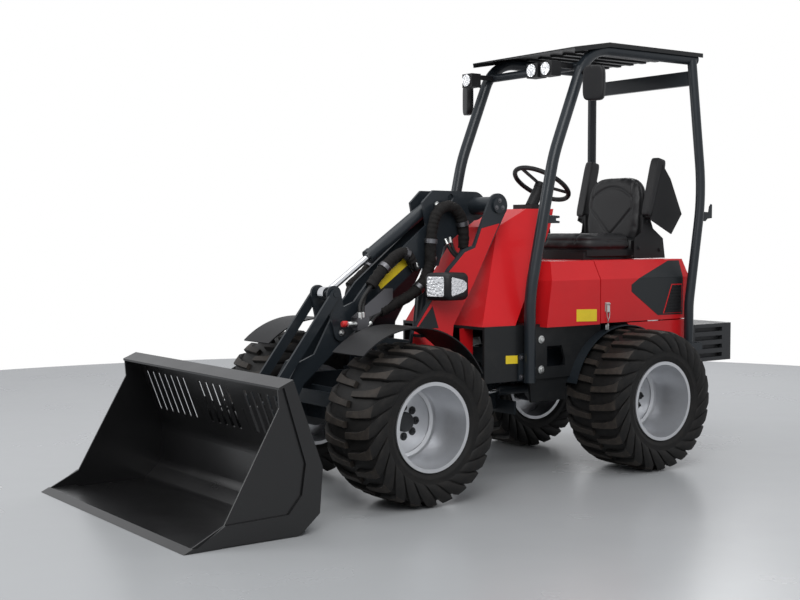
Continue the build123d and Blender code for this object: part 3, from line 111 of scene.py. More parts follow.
class LoaderColours(bpy.types.PropertyGroup):
    """Colours of the paints and materials."""

    red: colour("Body red", "The hood's and leg shield's paint", (0.66, 0.012, 0.016))
    grey: colour("Frame grey", "The chassis, boom and canopy paint", (0.017, 0.022, 0.027))
    black: colour("Bucket black", "The bucket's paint", (0.006, 0.006, 0.0065))
    silver: colour("Rim silver", "The wheel rims' paint", (0.60, 0.61, 0.63))
    rubber: colour("Tyre rubber", "The tyres' sides", (0.0095, 0.0093, 0.0092))
    tread: colour("Tread dust", "The dusty tops of the lugs", (0.028, 0.024, 0.021))
    plastic: colour("Moulded black", "Lamp housings, mirrors and levers", (0.008, 0.008, 0.009))
    vinyl: colour("Seat vinyl", "The seat's cover", (0.009, 0.009, 0.010))
    yellow: colour("Plate yellow", "The blank plates", (0.90, 0.66, 0.02))
    floor: colour("Floor", "The studio floor", (0.44, 0.45, 0.455))


def sizes():
    return bpy.context.scene.loader_sizes


def colours():
    return bpy.context.scene.loader_colours


# Shader maths

def linked(tree, value, target):
    """Puts a number, a colour or another node's output into a socket."""
    if isinstance(value, Output):
        tree.links.new(value.socket, target)
    else:
        target.default_value = value


class Output:
    """A node's output, with arithmetic that adds Math nodes."""

    def __init__(self, tree, socket):
        self.tree = tree
        self.socket = socket

    def maths(self, operation, first, second):
        node = self.tree.nodes.new("ShaderNodeMath")
        node.operation = operation
        linked(self.tree, first, node.inputs[0])
        linked(self.tree, second, node.inputs[1])
        return Output(self.tree, node.outputs[0])

    def __add__(self, other):
        return self.maths("ADD", self, other)

    def __radd__(self, other):
        return self.maths("ADD", other, self)

    def __sub__(self, other):
        return self.maths("SUBTRACT", self, other)

    def __rsub__(self, other):
        return self.maths("SUBTRACT", other, self)

    def __mul__(self, other):
        return self.maths("MULTIPLY", self, other)

    def __rmul__(self, other):
        return self.maths("MULTIPLY", other, self)


class Finish:
    """A material under construction: its Principled shader and the nodes that feed it."""

    def __init__(self, name, **constants):
        self.material = bpy.data.materials.new(name)
        self.material.use_nodes = True
        self.tree = self.material.node_tree
        self.shader = self.tree.nodes["Principled BSDF"]
        for socket, value in constants.items():
            self.shader.inputs[socket.replace("_", " ")].default_value = value

    def add(self, kind, settings=None, sockets=None, output=0):
        """Any node by its type, with its settings first and then its sockets' values or links."""
        node = self.tree.nodes.new(kind)
        for key, value in (settings or {}).items():
            if key == "stops":
                for element, (position, shade) in zip(node.color_ramp.elements, value):
                    element.position = position
                    element.color = (shade, shade, shade, 1)
            else:
                setattr(node, key, value)
        for key, value in (sockets or {}).items():
            linked(self.tree, value, node.inputs[key])
        return Output(self.tree, node.outputs[output])

    def coordinates(self):
        return self.add("ShaderNodeTexCoord", output="Object")

    def noise(self, scale, detail=3.0, roughness=0.55):
        sockets = {"Vector": self.coordinates(), "Scale": scale, "Detail": detail, "Roughness": roughness}
        return self.add("ShaderNodeTexNoise", sockets=sockets)

    def mask(self, value, low, high):
        """The value spread from black at low to white at high."""
        return self.add("ShaderNodeValToRGB", {"stops": ((low, 0.0), (high, 1.0))}, {"Fac": value})

    def blend(self, factor, first, second):
        """One colour over another by a factor."""
        sockets = {0: factor, 6: first, 7: second}
        return self.add("ShaderNodeMix", {"data_type": "RGBA"}, sockets, output=2)

    def tint(self, factor, shade, low, high):
        """A shade that runs from one multiple of itself to another by a factor."""
        return self.blend(factor, rgba(shade, low), rgba(shade, high))

    def cells(self, scale):
        return self.add("ShaderNodeTexVoronoi", sockets={"Vector": self.coordinates(), "Scale": scale})

    def bump(self, height, strength, distance):
        sockets = {"Height": height, "Strength": strength, "Distance": distance}
        return self.add("ShaderNodeBump", sockets=sockets)

    def feed(self, **sockets):
        for socket, value in sockets.items():
            linked(self.tree, value, self.shader.inputs[socket.replace("_", " ")])
        return self.material


def rgba(shade, factor=1.0):
    return (shade[0] * factor, shade[1] * factor, shade[2] * factor, 1.0)


DUST = (0.30, 0.27, 0.23, 1.0)


def paint_finish(name, shade, roughness, coat, dust, grain):
    """Sprayed paint: a fine orange-peel surface, patchy gloss and a little dust that settles in blotches."""
    finish = Finish(name, Coat_Roughness=0.08, Specular_IOR_Level=0.28)
    cloud = finish.noise(5.0, 4.0)
    fine = finish.noise(grain, 2.0)
    settled = finish.mask(finish.noise(9.0, 6.0, 0.7), 0.52, 0.86) * dust
    tone = finish.tint(cloud, shade, 0.90, 1.10)
    return finish.feed(
        Base_Color=finish.blend(settled, tone, DUST),
        Roughness=roughness + 0.10 * cloud + 0.35 * settled,
        Coat_Weight=coat - coat * settled,
        Normal=finish.bump(fine, 0.06, 0.002),
    )


def bucket_finish():
    """Black paint with long scuffs and dull, worn patches."""
    finish = Finish("bucket_black", Coat_Roughness=0.18, Specular_IOR_Level=0.4)
    cloud = finish.noise(4.0, 5.0)
    scuffs = finish.mask(finish.noise(60.0, 8.0, 0.75), 0.60, 0.78)
    worn = finish.mask(cloud, 0.45, 0.75) * scuffs
    tone = finish.blend(worn * 0.35, rgba(colours().black), (0.10, 0.10, 0.105, 1.0))
    return finish.feed(
        Base_Color=tone,
        Roughness=0.22 + 0.18 * cloud,
        Coat_Weight=0.34 - 0.3 * worn,
        Normal=finish.bump(finish.noise(220.0, 3.0), 0.08, 0.002),
    )


def rubber_finish(name, shade, dust):
    """Tyre rubber with a matte bloom and brownish dust."""
    finish = Finish(name, Specular_IOR_Level=0.22)
    cloud = finish.noise(7.0, 5.0)
    dusty = finish.mask(finish.noise(26.0, 6.0, 0.7), 0.44, 0.78)
    tone = finish.tint(cloud, shade, 0.75, 1.35)
    return finish.feed(
        Base_Color=finish.blend(dusty * dust, tone, (0.16, 0.13, 0.10, 1.0)),
        Roughness=0.46 + 0.22 * cloud,
        Normal=finish.bump(finish.noise(420.0, 4.0), 0.18, 0.001),
    )


def rim_finish():
    """Silver metallic paint with fine flake and faint road film."""
    finish = Finish("silver_paint", Metallic=0.75, Coat_Roughness=0.1)
    flake = finish.noise(900.0, 2.0)
    film = finish.mask(finish.noise(14.0, 5.0, 0.65), 0.45, 0.85)
    return finish.feed(
        Base_Color=finish.tint(film * 0.25, colours().silver, 1.0, 0.55),
        Roughness=0.30 + 0.10 * flake + 0.12 * film,
        Coat_Weight=0.3 - 0.2 * film,
        Normal=finish.bump(flake, 0.03, 0.001),
    )


def moulded_finish(name, shade, roughness, grain):
    """Moulded plastic with a leathery grain."""
    finish = Finish(name, Specular_IOR_Level=0.32)
    cells = finish.cells(grain)
    cloud = finish.noise(9.0)
    return finish.feed(
        Base_Color=finish.tint(cloud, shade, 0.85, 1.2),
        Roughness=roughness + 0.12 * cloud,
        Normal=finish.bump(cells, 0.12, 0.001),
    )


def vinyl_finish():
    """Seat vinyl: a pebbled grain, soft creases and a sheen that is duller in patches."""
    finish = Finish("seat_vinyl", Specular_IOR_Level=0.45)
    pebble = finish.cells(520.0)
    crease = finish.noise(34.0, 5.0, 0.65)
    cloud = finish.noise(6.0)
    return finish.feed(
        Base_Color=finish.tint(cloud, colours().vinyl, 0.8, 1.5),
        Roughness=0.38 + 0.2 * cloud,
        Normal=finish.bump(pebble * 0.4 + crease * 0.6, 0.22, 0.002),
    )


def sleeve_finish():
    """Woven hose sleeve: a crossed weave with loose wrinkles, and painted shade that darkens the wrinkles'
    hollows and lightens their ridges.
    """
    finish = Finish("woven_sleeve", Specular_IOR_Level=0.25)
    weave = finish.cells(420.0)
    wrinkle_and_shade = finish.noise(38.0, 4.0, 0.6)
    return finish.feed(
        # The wrinkles' height also sets the colour: painted shade, darker in the hollows and lighter on the
        # ridges.
        Base_Color=finish.blend(wrinkle_and_shade, (0.003, 0.003, 0.003, 1.0), (0.015, 0.013, 0.012, 1.0)),
        Roughness=0.66 + 0.2 * wrinkle_and_shade,
        Normal=finish.bump(weave * 0.2 + wrinkle_and_shade * 0.8, 0.7, 0.009),
    )


def metal_finish(name, shade, roughness, brush):
    """Bare or plated metal with fine scratches."""
    finish = Finish(name, Metallic=1.0)
    scratch = finish.noise(brush, 6.0, 0.7)
    cloud = finish.noise(12.0)
    return finish.feed(
        Base_Color=finish.tint(cloud, shade, 0.88, 1.05),
        Roughness=roughness + 0.10 * scratch,
        Normal=finish.bump(scratch, 0.05, 0.001),
    )


def casting_finish():
    """Painted casting with a sandy skin."""
    finish = Finish("painted_casting", Coat_Roughness=0.3)
    skin = finish.noise(260.0, 5.0, 0.65)
    cloud = finish.noise(6.0)
    return finish.feed(
        Base_Color=finish.blend(cloud, (0.014, 0.015, 0.017, 1.0), (0.026, 0.028, 0.031, 1.0)),
        Roughness=0.42 + 0.2 * cloud,
        Normal=finish.bump(skin, 0.3, 0.003),
    )


def lens_finish():
    """Clear moulded lamp lens, seen through, with fine flutes."""
    finish = Finish("lamp_lens", Alpha=0.22, Roughness=0.06)
    flutes = finish.cells(120.0)
    cloud = finish.noise(40.0)
    return finish.feed(
        Base_Color=finish.blend(cloud, (0.86, 0.88, 0.90, 1.0), (0.97, 0.97, 0.97, 1.0)),
        Normal=finish.bump(flutes, 0.2, 0.002),
    )


def reflector_finish():
    """A lamp's bright reflector, moulded in facets."""
    finish = Finish("lamp_reflector", Metallic=0.85)
    facets = finish.cells(75.0)
    cloud = finish.noise(30.0)
    return finish.feed(
        Base_Color=finish.blend(cloud, (0.80, 0.82, 0.84, 1.0), (0.97, 0.97, 0.98, 1.0)),
        Roughness=0.12 + 0.12 * cloud,
        Normal=finish.bump(facets, 0.6, 0.006),
    )


def plate_finish():
    """Blank yellow plate, printed film with faint fading."""
    finish = Finish("blank_plate")
    cloud = finish.noise(30.0)
    return finish.feed(
        Base_Color=finish.tint(cloud, colours().yellow, 0.9, 1.05),
        Roughness=0.34 + 0.12 * cloud,
        Normal=finish.bump(finish.noise(160.0), 0.04, 0.001),
    )


FINISHES = {
    "red_paint": lambda: paint_finish("red_paint", colours().red, 0.32, 0.12, 0.02, 420.0),
    "grey_paint": lambda: paint_finish("grey_paint", colours().grey, 0.30, 0.15, 0.03, 380.0),
    "roof_paint": lambda: paint_finish("roof_paint", (0.010, 0.011, 0.012), 0.40, 0.1, 0.04, 300.0),
    "silver_paint": rim_finish,
    "bucket_black": bucket_finish,
    "tyre_rubber": lambda: rubber_finish("tyre_rubber", colours().rubber, 0.06),
    "lug_rubber": lambda: rubber_finish("lug_rubber", colours().tread, 0.22),
    "black_plastic": lambda: moulded_finish("black_plastic", colours().plastic, 0.42, 620.0),
    "graphic_black": lambda: moulded_finish("graphic_black", (0.013, 0.016, 0.018), 0.34, 900.0),
    "seat_vinyl": vinyl_finish,
    "woven_sleeve": sleeve_finish,
    "hose_rubber": lambda: moulded_finish("hose_rubber", (0.016, 0.016, 0.016), 0.5, 800.0),
    "chrome": lambda: metal_finish("chrome", (0.80, 0.81, 0.83), 0.06, 240.0),
    "zinc": lambda: metal_finish("zinc", (0.62, 0.63, 0.62), 0.26, 300.0),
    "dark_steel": lambda: metal_finish("dark_steel", (0.16, 0.16, 0.17), 0.36, 300.0),
    "mirror_glass": lambda: metal_finish("mirror_glass", (0.82, 0.84, 0.86), 0.02, 40.0),
    "painted_casting": casting_finish,
    "lamp_lens": lens_finish,
    "lamp_reflector": reflector_finish,
    "blank_plate": plate_finish,
    "red_cap": lambda: moulded_finish("red_cap", (0.60, 0.02, 0.02), 0.35, 700.0),
}
made_finishes = {}


def finish_named(name):
    if name not in made_finishes:
        made_finishes[name] = FINISHES[name]()
    return made_finishes[name]


# Mesh tools

SMOOTH_ANGLE = math.radians(38)


def piece_from(name, mesh_builder, finish, body):
    """A finished piece from a bmesh: smooth within an angle, painted, and riding on a body."""
    mesh = bpy.data.meshes.new(name)
    bmesh.ops.recalc_face_normals(mesh_builder, faces=mesh_builder.faces)
    mesh_builder.to_mesh(mesh)
    mesh_builder.free()
    mesh.shade_smooth()
    mesh.set_sharp_from_angle(angle=SMOOTH_ANGLE)
    piece = bpy.data.objects.new(name, mesh)
    bpy.context.collection.objects.link(piece)
    mesh.materials.append(finish_named(finish))
    if body:
        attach(piece, body)
    return piece


def bridge(builder, rings, closed=False):
    """Faces between neighbouring rings of vertices; closed joins the last ring to the first."""
    pairs = list(zip(rings, rings[1:]))
    if closed:
        pairs.append((rings[-1], rings[0]))
    for first, second in pairs:
        count = len(first)
        for index in range(count):
            after = (index + 1) % count
            builder.faces.new((first[index], first[after], second[after], second[index]))


def add_skin(builder, rings):
    """A closed skin over rings of vertices: faces between neighbours and a cap at each end."""
    bridge(builder, rings)
    builder.faces.new(rings[0])
    builder.faces.new(rings[-1])


def lathe(builder, profile, centre, axis, segments, closed=False):
    """A turned form: (along, radius) points swept round an axis through a centre."""
    axis = Vector(axis).normalized()
    across = axis.orthogonal().normalized()
    third = axis.cross(across)
    rings = []
    for along, radius in profile:
        ring = []
        for index in range(segments):
            angle = 2 * math.pi * index / segments
            out = across * math.cos(angle) + third * math.sin(angle)
            ring.append(builder.verts.new(centre + axis * along + out * radius))
        rings.append(ring)
    if closed:
        bridge(builder, rings, closed=True)
    else:
        add_skin(builder, rings)


def add_bolt(builder, centre, axis, radius):
    """A hexagon head on a washer, with a chamfered crown."""
    washer = ((0.0, radius * 1.5), (radius * 0.22, radius * 1.5), (radius * 0.24, radius * 1.42))
    lathe(builder, washer, centre, axis, 20)
    head = ((radius * 0.2, radius), (radius * 0.85, radius), (radius * 1.0, radius * 0.78))
    lathe(builder, head, centre, axis, 6)


def add_slab(builder, outline, origin, across, up, thickness, bevel=0.0):
    """A flat plate from an (across, up) outline on a plane, with a small bevel round its front edge."""
    across, up = Vector(across).normalized(), Vector(up).normalized()
    normal = across.cross(up)
    middle = sum((Vector(point) for point in outline), Vector((0, 0))) / len(outline)
    rings = []
    for height, inset in ((0.0, 0.0), (thickness - bevel, 0.0), (thickness, bevel)):
        ring = []
        for point in outline:
            flat = Vector(point)
            pulled = flat + (middle - flat).normalized() * inset
            ring.append(builder.verts.new(origin + across * pulled.x + up * pulled.y + normal * height))
        rings.append(ring)
    add_skin(builder, rings)


def route_line(points, steps):
    """Points along the smooth NURBS line that a route of given points controls."""
    curve = bpy.data.curves.new("route", "CURVE")
    curve.dimensions = "3D"
    curve.resolution_u = steps
    spline = curve.splines.new("NURBS")
    spline.points.add(len(points) - 1)
    for control, point in zip(spline.points, points):
        control.co = (*point, 1.0)
    spline.order_u = 3
    spline.use_endpoint_u = True
    holder = bpy.data.objects.new("route", curve)
    bpy.context.collection.objects.link(holder)
    bpy.context.view_layer.update()
    mesh = bpy.data.meshes.new_from_object(holder.evaluated_get(bpy.context.evaluated_depsgraph_get()))
    line = [vertex.co.copy() for vertex in mesh.vertices]
    bpy.data.objects.remove(holder)
    bpy.data.curves.remove(curve)
    bpy.data.meshes.remove(mesh)
    return line


def add_tube(builder, line, radius_at, segments=16):
    """A tube along a line, with its radius given by the distance from its start and the angle round it."""
    across = (line[1] - line[0]).orthogonal().normalized()
    travelled = 0.0
    rings = []
    for index, point in enumerate(line):
        before, after = line[max(index - 1, 0)], line[min(index + 1, len(line) - 1)]
        along = (after - before).normalized()
        across = (across - along * across.dot(along)).normalized()
        third = along.cross(across)
        travelled += (point - before).length
        ring = []
        for count in range(segments):
            angle = 2 * math.pi * count / segments
            out = across * math.cos(angle) + third * math.sin(angle)
            ring.append(builder.verts.new(point + out * radius_at(travelled, angle)))
        rings.append(ring)
    add_skin(builder, rings)


def add_side_slab(builder, outline, y, thickness, bevel=0.0):
    """A plate that faces left, from an (x, z) outline in millimetres at a distance y from the middle."""
    flat = [(-x * MM, z * MM) for x, z in outline]
    add_slab(builder, flat, Vector((FRONT_AXLE.x, y * MM, 0)), -FORWARD, UP, thickness, bevel)


def add_other_side(builder):
    """Adds the same shapes on the other side of the middle."""
    copied = bmesh.ops.duplicate(builder, geom=builder.verts[:] + builder.edges[:] + builder.faces[:])
    verts = [item for item in copied["geom"] if isinstance(item, bmesh.types.BMVert)]
    bmesh.ops.scale(builder, vec=(1, -1, 1), verts=verts)


def pair_from(name, builder, finish, body):
    """A finished piece from the left side's shapes, with the same shapes on the right."""
    add_other_side(builder)
    return piece_from(name, builder, finish, body)


def add_rounded_stack(builder, levels, half, corner, count, put):
    """Rounded-square rings, each at a (height, width) share of a half size; put gives a point its place."""
    rings = []
    for lift, width in levels:
        ring = []
        for index in range(count):
            angle = 2 * math.pi * index / count
            cosine, sine = math.cos(angle), math.sin(angle)
            reach = (abs(cosine) ** corner + abs(sine) ** corner) ** (-1 / corner) * width
            ring.append(builder.verts.new(put(half.x * reach * cosine, half.y * reach * sine, half.z * lift)))
        rings.append(ring)
    add_skin(builder, rings)


PAD_LEVELS = (-1.0, -0.97, -0.88, -0.7, 0.7, 0.88, 0.97, 1.0)


def add_pad_box(builder, centre, half, corner, turn=Matrix.Identity(3)):
    """A box with rounded edges, turned about its centre."""
    levels = [(lift, (1 - abs(lift) ** 8) ** 0.5 * 0.22 + 0.78) for lift in PAD_LEVELS]
    add_rounded_stack(builder, levels, half, corner, 40, lambda x, y, z: centre + turn @ Vector((x, y, z)))


# Painted frame

NODE_FINISHES = {
    "red_paint": ("hood", "seat_box", "console", "quarter_panels", "front_guards"),
    "bucket_black": ("bucket", "coupler"),
    "roof_paint": ("roof", "platform"),
    "painted_casting": ("engine", "counterweight"),
    "chrome": ("lift_rod", "tilt_rod", "steer_rod_left", "steer_rod_right"),
    "black_plastic": ("steering_wheel", "steering_column", "control_box", "front_fenders", "headlamps",
                      "work_lights", "mirrors", "armrests", "seat_base"),
    "silver_paint": tuple(f"rim_{wheel}" for wheel in WHEELS),
    "dark_steel": ("hydraulic_block", "pedals"),
    "woven_sleeve": ("boom_hoses",),
}


class LOADER_OT_paint(bpy.types.Operator):
    """Gives every solid of the frame its finish"""

    bl_idname = "loader.paint"
    bl_label = "Paint the frame"

    def execute(self, context):
        chosen = {node: name for name, nodes in NODE_FINISHES.items() for node in nodes}
        for node, solid in frame["nodes"].items():
            solid.data.materials.clear()
            solid.data.materials.append(finish_named(chosen.get(node, "grey_paint")))
        return {"FINISHED"}


# Wheels

def carcass_profile(radius, width, lug):
    """The tyre's smooth section from bead to bead, as (across, radius) points."""
    half = width / 2
    tread = radius - lug
    side = (
        (0.880 * half, 0.203), (0.888 * half, 0.213), (0.925 * half, 0.222), (0.940 * half, 0.231),
        (0.950 * half, 0.234), (0.953 * half, 0.240), (0.946 * half, 0.246), (0.955 * half, 0.258),
        (0.955 * half, 0.285), (0.945 * half, tread - 0.040), (0.915 * half, tread - 0.022),
        (0.850 * half, tread - 0.008), (0.720 * half, tread), (0.360 * half, tread + 0.002),
    )
    return list(side) + [(-across, reach) for across, reach in reversed(side)]


def lug_stations(radius, width, lug):
    """A lug's course from the tyre's middle, over the shoulder and down the side."""
    half = width / 2
    tread = radius - lug
    # top across, top radius, foot across, foot radius, sweep in degrees, half width
    return (
        (0.030 * half, radius, 0.030 * half, tread - 0.006, 0.0, 0.0150),
        (0.480 * half, radius, 0.480 * half, tread - 0.006, -1.2, 0.0165),
        (0.800 * half, radius - 0.003, 0.780 * half, tread - 0.012, -3.2, 0.0225),
        (0.925 * half, radius - 0.013, 0.850 * half, tread - 0.020, -5.6, 0.0320),
        (0.978 * half, radius - 0.034, 0.890 * half, radius - 0.046, -9.0, 0.0360),
        (0.999 * half, radius - 0.060, 0.915 * half, radius - 0.066, -13.5, 0.0345),
        (0.999 * half, radius - 0.084, 0.930 * half, radius - 0.087, -18.0, 0.0310),
        (0.984 * half, radius - 0.104, 0.930 * half, radius - 0.105, -22.5, 0.0275),
        (0.945 * half, radius - 0.114, 0.925 * half, radius - 0.114, -25.0, 0.0245),
    )


def add_lug(builder, stations, start, side):
    """One tread lug as a loft of chamfered sections."""
    rings = []
    for top_across, top, foot_across, foot, turn, half_width in stations:
        middle = start + math.radians(turn)
        edge = (top_across + 0.12 * (foot_across - top_across), top + 0.12 * (foot - top))
        section = (
            (foot_across, foot, 1.12), (*edge, 1.0), (top_across, top, 0.88), (top_across, top, 0.0),
            (top_across, top, -0.88), (*edge, -1.0), (foot_across, foot, -1.12),
        )
        ring = []
        for across, reach, spread in section:
            angle = middle + spread * half_width / top
            ring.append(builder.verts.new((reach * math.sin(angle), side * across, reach * math.cos(angle))))
        rings.append(ring)
    add_skin(builder, rings)


class LOADER_OT_tyres(bpy.types.Operator):
    """Builds the lugged tyres in place of the plain ones"""

    bl_idname = "loader.tyres"
    bl_label = "Tyres"

    def execute(self, context):
        values = sizes()
        stations = lug_stations(values.tyre_radius, values.tyre_width, values.lug_height)
        profile = carcass_profile(values.tyre_radius, values.tyre_width, values.lug_height)
        pitch = 2 * math.pi / values.lug_count
        for wheel in WHEELS:
            builder = bmesh.new()
            lathe(builder, profile, Vector(), LEFT, 120, closed=True)
            for side, offset in ((1, 0.25), (-1, 0.75)):
                for count in range(values.lug_count):
                    add_lug(builder, stations, pitch * (count + offset), side)
            for face in builder.faces:
                centre = face.calc_center_median()
                face.material_index = int(math.hypot(centre.x, centre.z) > values.tyre_radius - 0.010)
            bmesh.ops.translate(builder, vec=joint_place(f"wheel_turn_{wheel}"), verts=builder.verts)
            tyre = piece_from(f"lugged_tyre_{wheel}", builder, "tyre_rubber", f"wheel_{wheel}")
            tyre.data.materials.append(finish_named("lug_rubber"))
            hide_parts(f"tyre_{wheel}")
        return {"FINISHED"}


HUB_FACE = -0.052
NUT_COUNT = 8
NUT_CIRCLE_RADIUS = 0.070
VALVE_PLACE = Vector((0.118, 0, 0.060))
# Turned profiles as (along the axle, radius)
STUD = ((0.012, 0.006), (0.022, 0.006), (0.024, 0.0045))
HUB_CAP = ((0.0, 0.047), (0.017, 0.047), (0.024, 0.043), (0.027, 0.034), (0.030, 0.012))
VALVE = ((0.0, 0.008), (0.02, 0.0075), (0.022, 0.0045), (0.045, 0.0045))
RIM_BARREL = (
    (-0.050, 0.1915), (-0.050, 0.150), (-0.046, 0.150), (-0.040, 0.166), (-0.026, 0.174), (-0.014, 0.178),
    (-0.006, 0.180), (0.040, 0.1815), (0.060, 0.183), (0.070, 0.1865), (0.100, 0.1875), (0.118, 0.1885),
    (0.126, 0.1905), (0.150, 0.1912), (0.150, 0.1919),
)


class LOADER_OT_wheel_nuts(bpy.types.Operator):
    """Fits each rim with its barrel, nuts, hub cap and valve"""

    bl_idname = "loader.wheel_nuts"
    bl_label = "Wheel nuts"

    def execute(self, context):
        for wheel in WHEELS:
            axis = LEFT if wheel.endswith("left") else -LEFT
            middle = joint_place(f"wheel_turn_{wheel}")
            hub = middle + axis * HUB_FACE
            builder = bmesh.new()
            for count in range(NUT_COUNT):
                angle = 2 * math.pi * count / NUT_COUNT
                out = Vector((math.sin(angle), 0, math.cos(angle))) * NUT_CIRCLE_RADIUS
                add_bolt(builder, hub + out, axis, sizes().nut_radius)
                lathe(builder, STUD, hub + out, axis, 12)
            lathe(builder, HUB_CAP, hub, axis, 32)
            lathe(builder, VALVE, hub + VALVE_PLACE, axis, 12)
            piece_from(f"wheel_nuts_{wheel}", builder, "painted_casting", f"wheel_{wheel}")
            barrel = bmesh.new()
            lathe(barrel, RIM_BARREL, middle, axis, 96, closed=True)
            piece_from(f"rim_barrel_{wheel}", barrel, "silver_paint", f"wheel_{wheel}")
        return {"FINISHED"}


# Seat

CUSHION_ROWS = 10
PAD_VOXEL = 0.007
PAD_PRESSURE = 4.0
PAD_SWELL_LIMIT = 0.010
PAD_FRAMES = 14
SOFTEN_PASSES = 14
SEAM_WIDTH = 0.007


def cushion_builder(low, high, corner):
    """A pad between two corners, a little narrower at its top and bottom."""
    middle = (low + high) / 2
    levels = []
    for row in range(CUSHION_ROWS + 1):
        lift = -1 + 2 * row / CUSHION_ROWS
        levels.append((lift, 0.90 + 0.10 * (1 - abs(lift) ** 6) ** 0.5))
    builder = bmesh.new()
    add_rounded_stack(builder, levels, (high - low) / 2, corner, 64,
                      lambda x, y, z: (middle.x + x, middle.y + y, middle.z + z))
    return builder


def remesh(piece, voxel_size):
    """Even faces all over a pad."""
    voxel = piece.modifiers.new("Remesh", "REMESH")
    voxel.mode = "VOXEL"
    voxel.voxel_size = voxel_size
    settle_modifiers(piece)


def inflate(piece):
    """Swells a pad with a short cloth simulation, with each point's move held under a limit."""
    remesh(piece, PAD_VOXEL)
    rest = [vertex.co.copy() for vertex in piece.data.vertices]
    cloth = piece.modifiers.new("Cloth", "CLOTH")
    cloth.settings.use_pressure = True
    cloth.settings.uniform_pressure_force = PAD_PRESSURE
    cloth.settings.effector_weights.gravity = 0
    for step in range(1, PAD_FRAMES + 1):
        bpy.context.scene.frame_set(step)
    settle_modifiers(piece)
    bpy.context.scene.frame_set(1)
    for vertex, start in zip(piece.data.vertices, rest):
        move = vertex.co - start
        if move.length > PAD_SWELL_LIMIT:
            vertex.co = start + move.normalized() * PAD_SWELL_LIMIT


def settle_modifiers(piece):
    """Replaces a piece's mesh by what its modifiers make of it."""
    bpy.context.view_layer.update()
    evaluated = piece.evaluated_get(bpy.context.evaluated_depsgraph_get())
    mesh = bpy.data.meshes.new_from_object(evaluated)
    old = piece.data
    piece.modifiers.clear()
    piece.data = mesh
    bpy.data.meshes.remove(old)


def soften(piece):
    """Evens out the cover's creases."""
    smoother = piece.modifiers.new("Soften", "SMOOTH")
    smoother.factor = 0.5
    smoother.iterations = SOFTEN_PASSES
    settle_modifiers(piece)


def press_seams(piece, seams, depth):
    """Pulls the cover in along seams, each a function that gives a point's distance from it."""
    normals = [vertex.normal.copy() for vertex in piece.data.vertices]
    for vertex, normal in zip(piece.data.vertices, normals):
        for seam in seams:
            away = seam(vertex.co)
            vertex.co -= normal * depth * math.exp(-(away / SEAM_WIDTH) ** 2)


def where(inside, distance):
    """A seam's distance on its stretch, and far away elsewhere."""
    return distance if inside else 1.0


def make_pad(name, low, high, corner, seams, node, tilt=None):
    """A padded seat part: a crowned form swelled by simulation, sewn along its seams."""
    builder = cushion_builder(low, high, corner)
    piece = piece_from(name, builder, "seat_vinyl", None)
    inflate(piece)
    soften(piece)
    press_seams(piece, seams, sizes().seam_depth)
    smoother = piece.modifiers.new("Smooth", "SUBSURF")
    smoother.levels = 1
    smoother.render_levels = 1
    settle_modifiers(piece)
    if tilt:
        piece.data.transform(tilt)
    piece.data.shade_smooth()
    piece.data.materials.clear()
    piece.data.materials.append(finish_named("seat_vinyl"))
    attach(piece, "hood")
    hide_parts(node)
    return piece


# Outline of a folding bracket and its bolts as (x, z), and the pan's blocks as a centre and half a size
SEAT_BRACKET = ((-1752, 1114), (-1756, 1226), (-1812, 1262), (-1826, 1346), (-1876, 1352), (-1906, 1282),
                (-1988, 1226), (-2006, 1114))
SEAT_BRACKET_BOLTS = ((-1790, 1172), (-1960, 1160), (-1850, 1322))
SEAT_BRACKET_Y = 237
SEAT_PAN_BLOCKS = (((-1622, 0, 1146), (208, 212, 24)), ((-1800, 0, 1180), (50, 208, 46)))
BACK_DEPTH = 0.074
BACK_LEAN = 0.0375


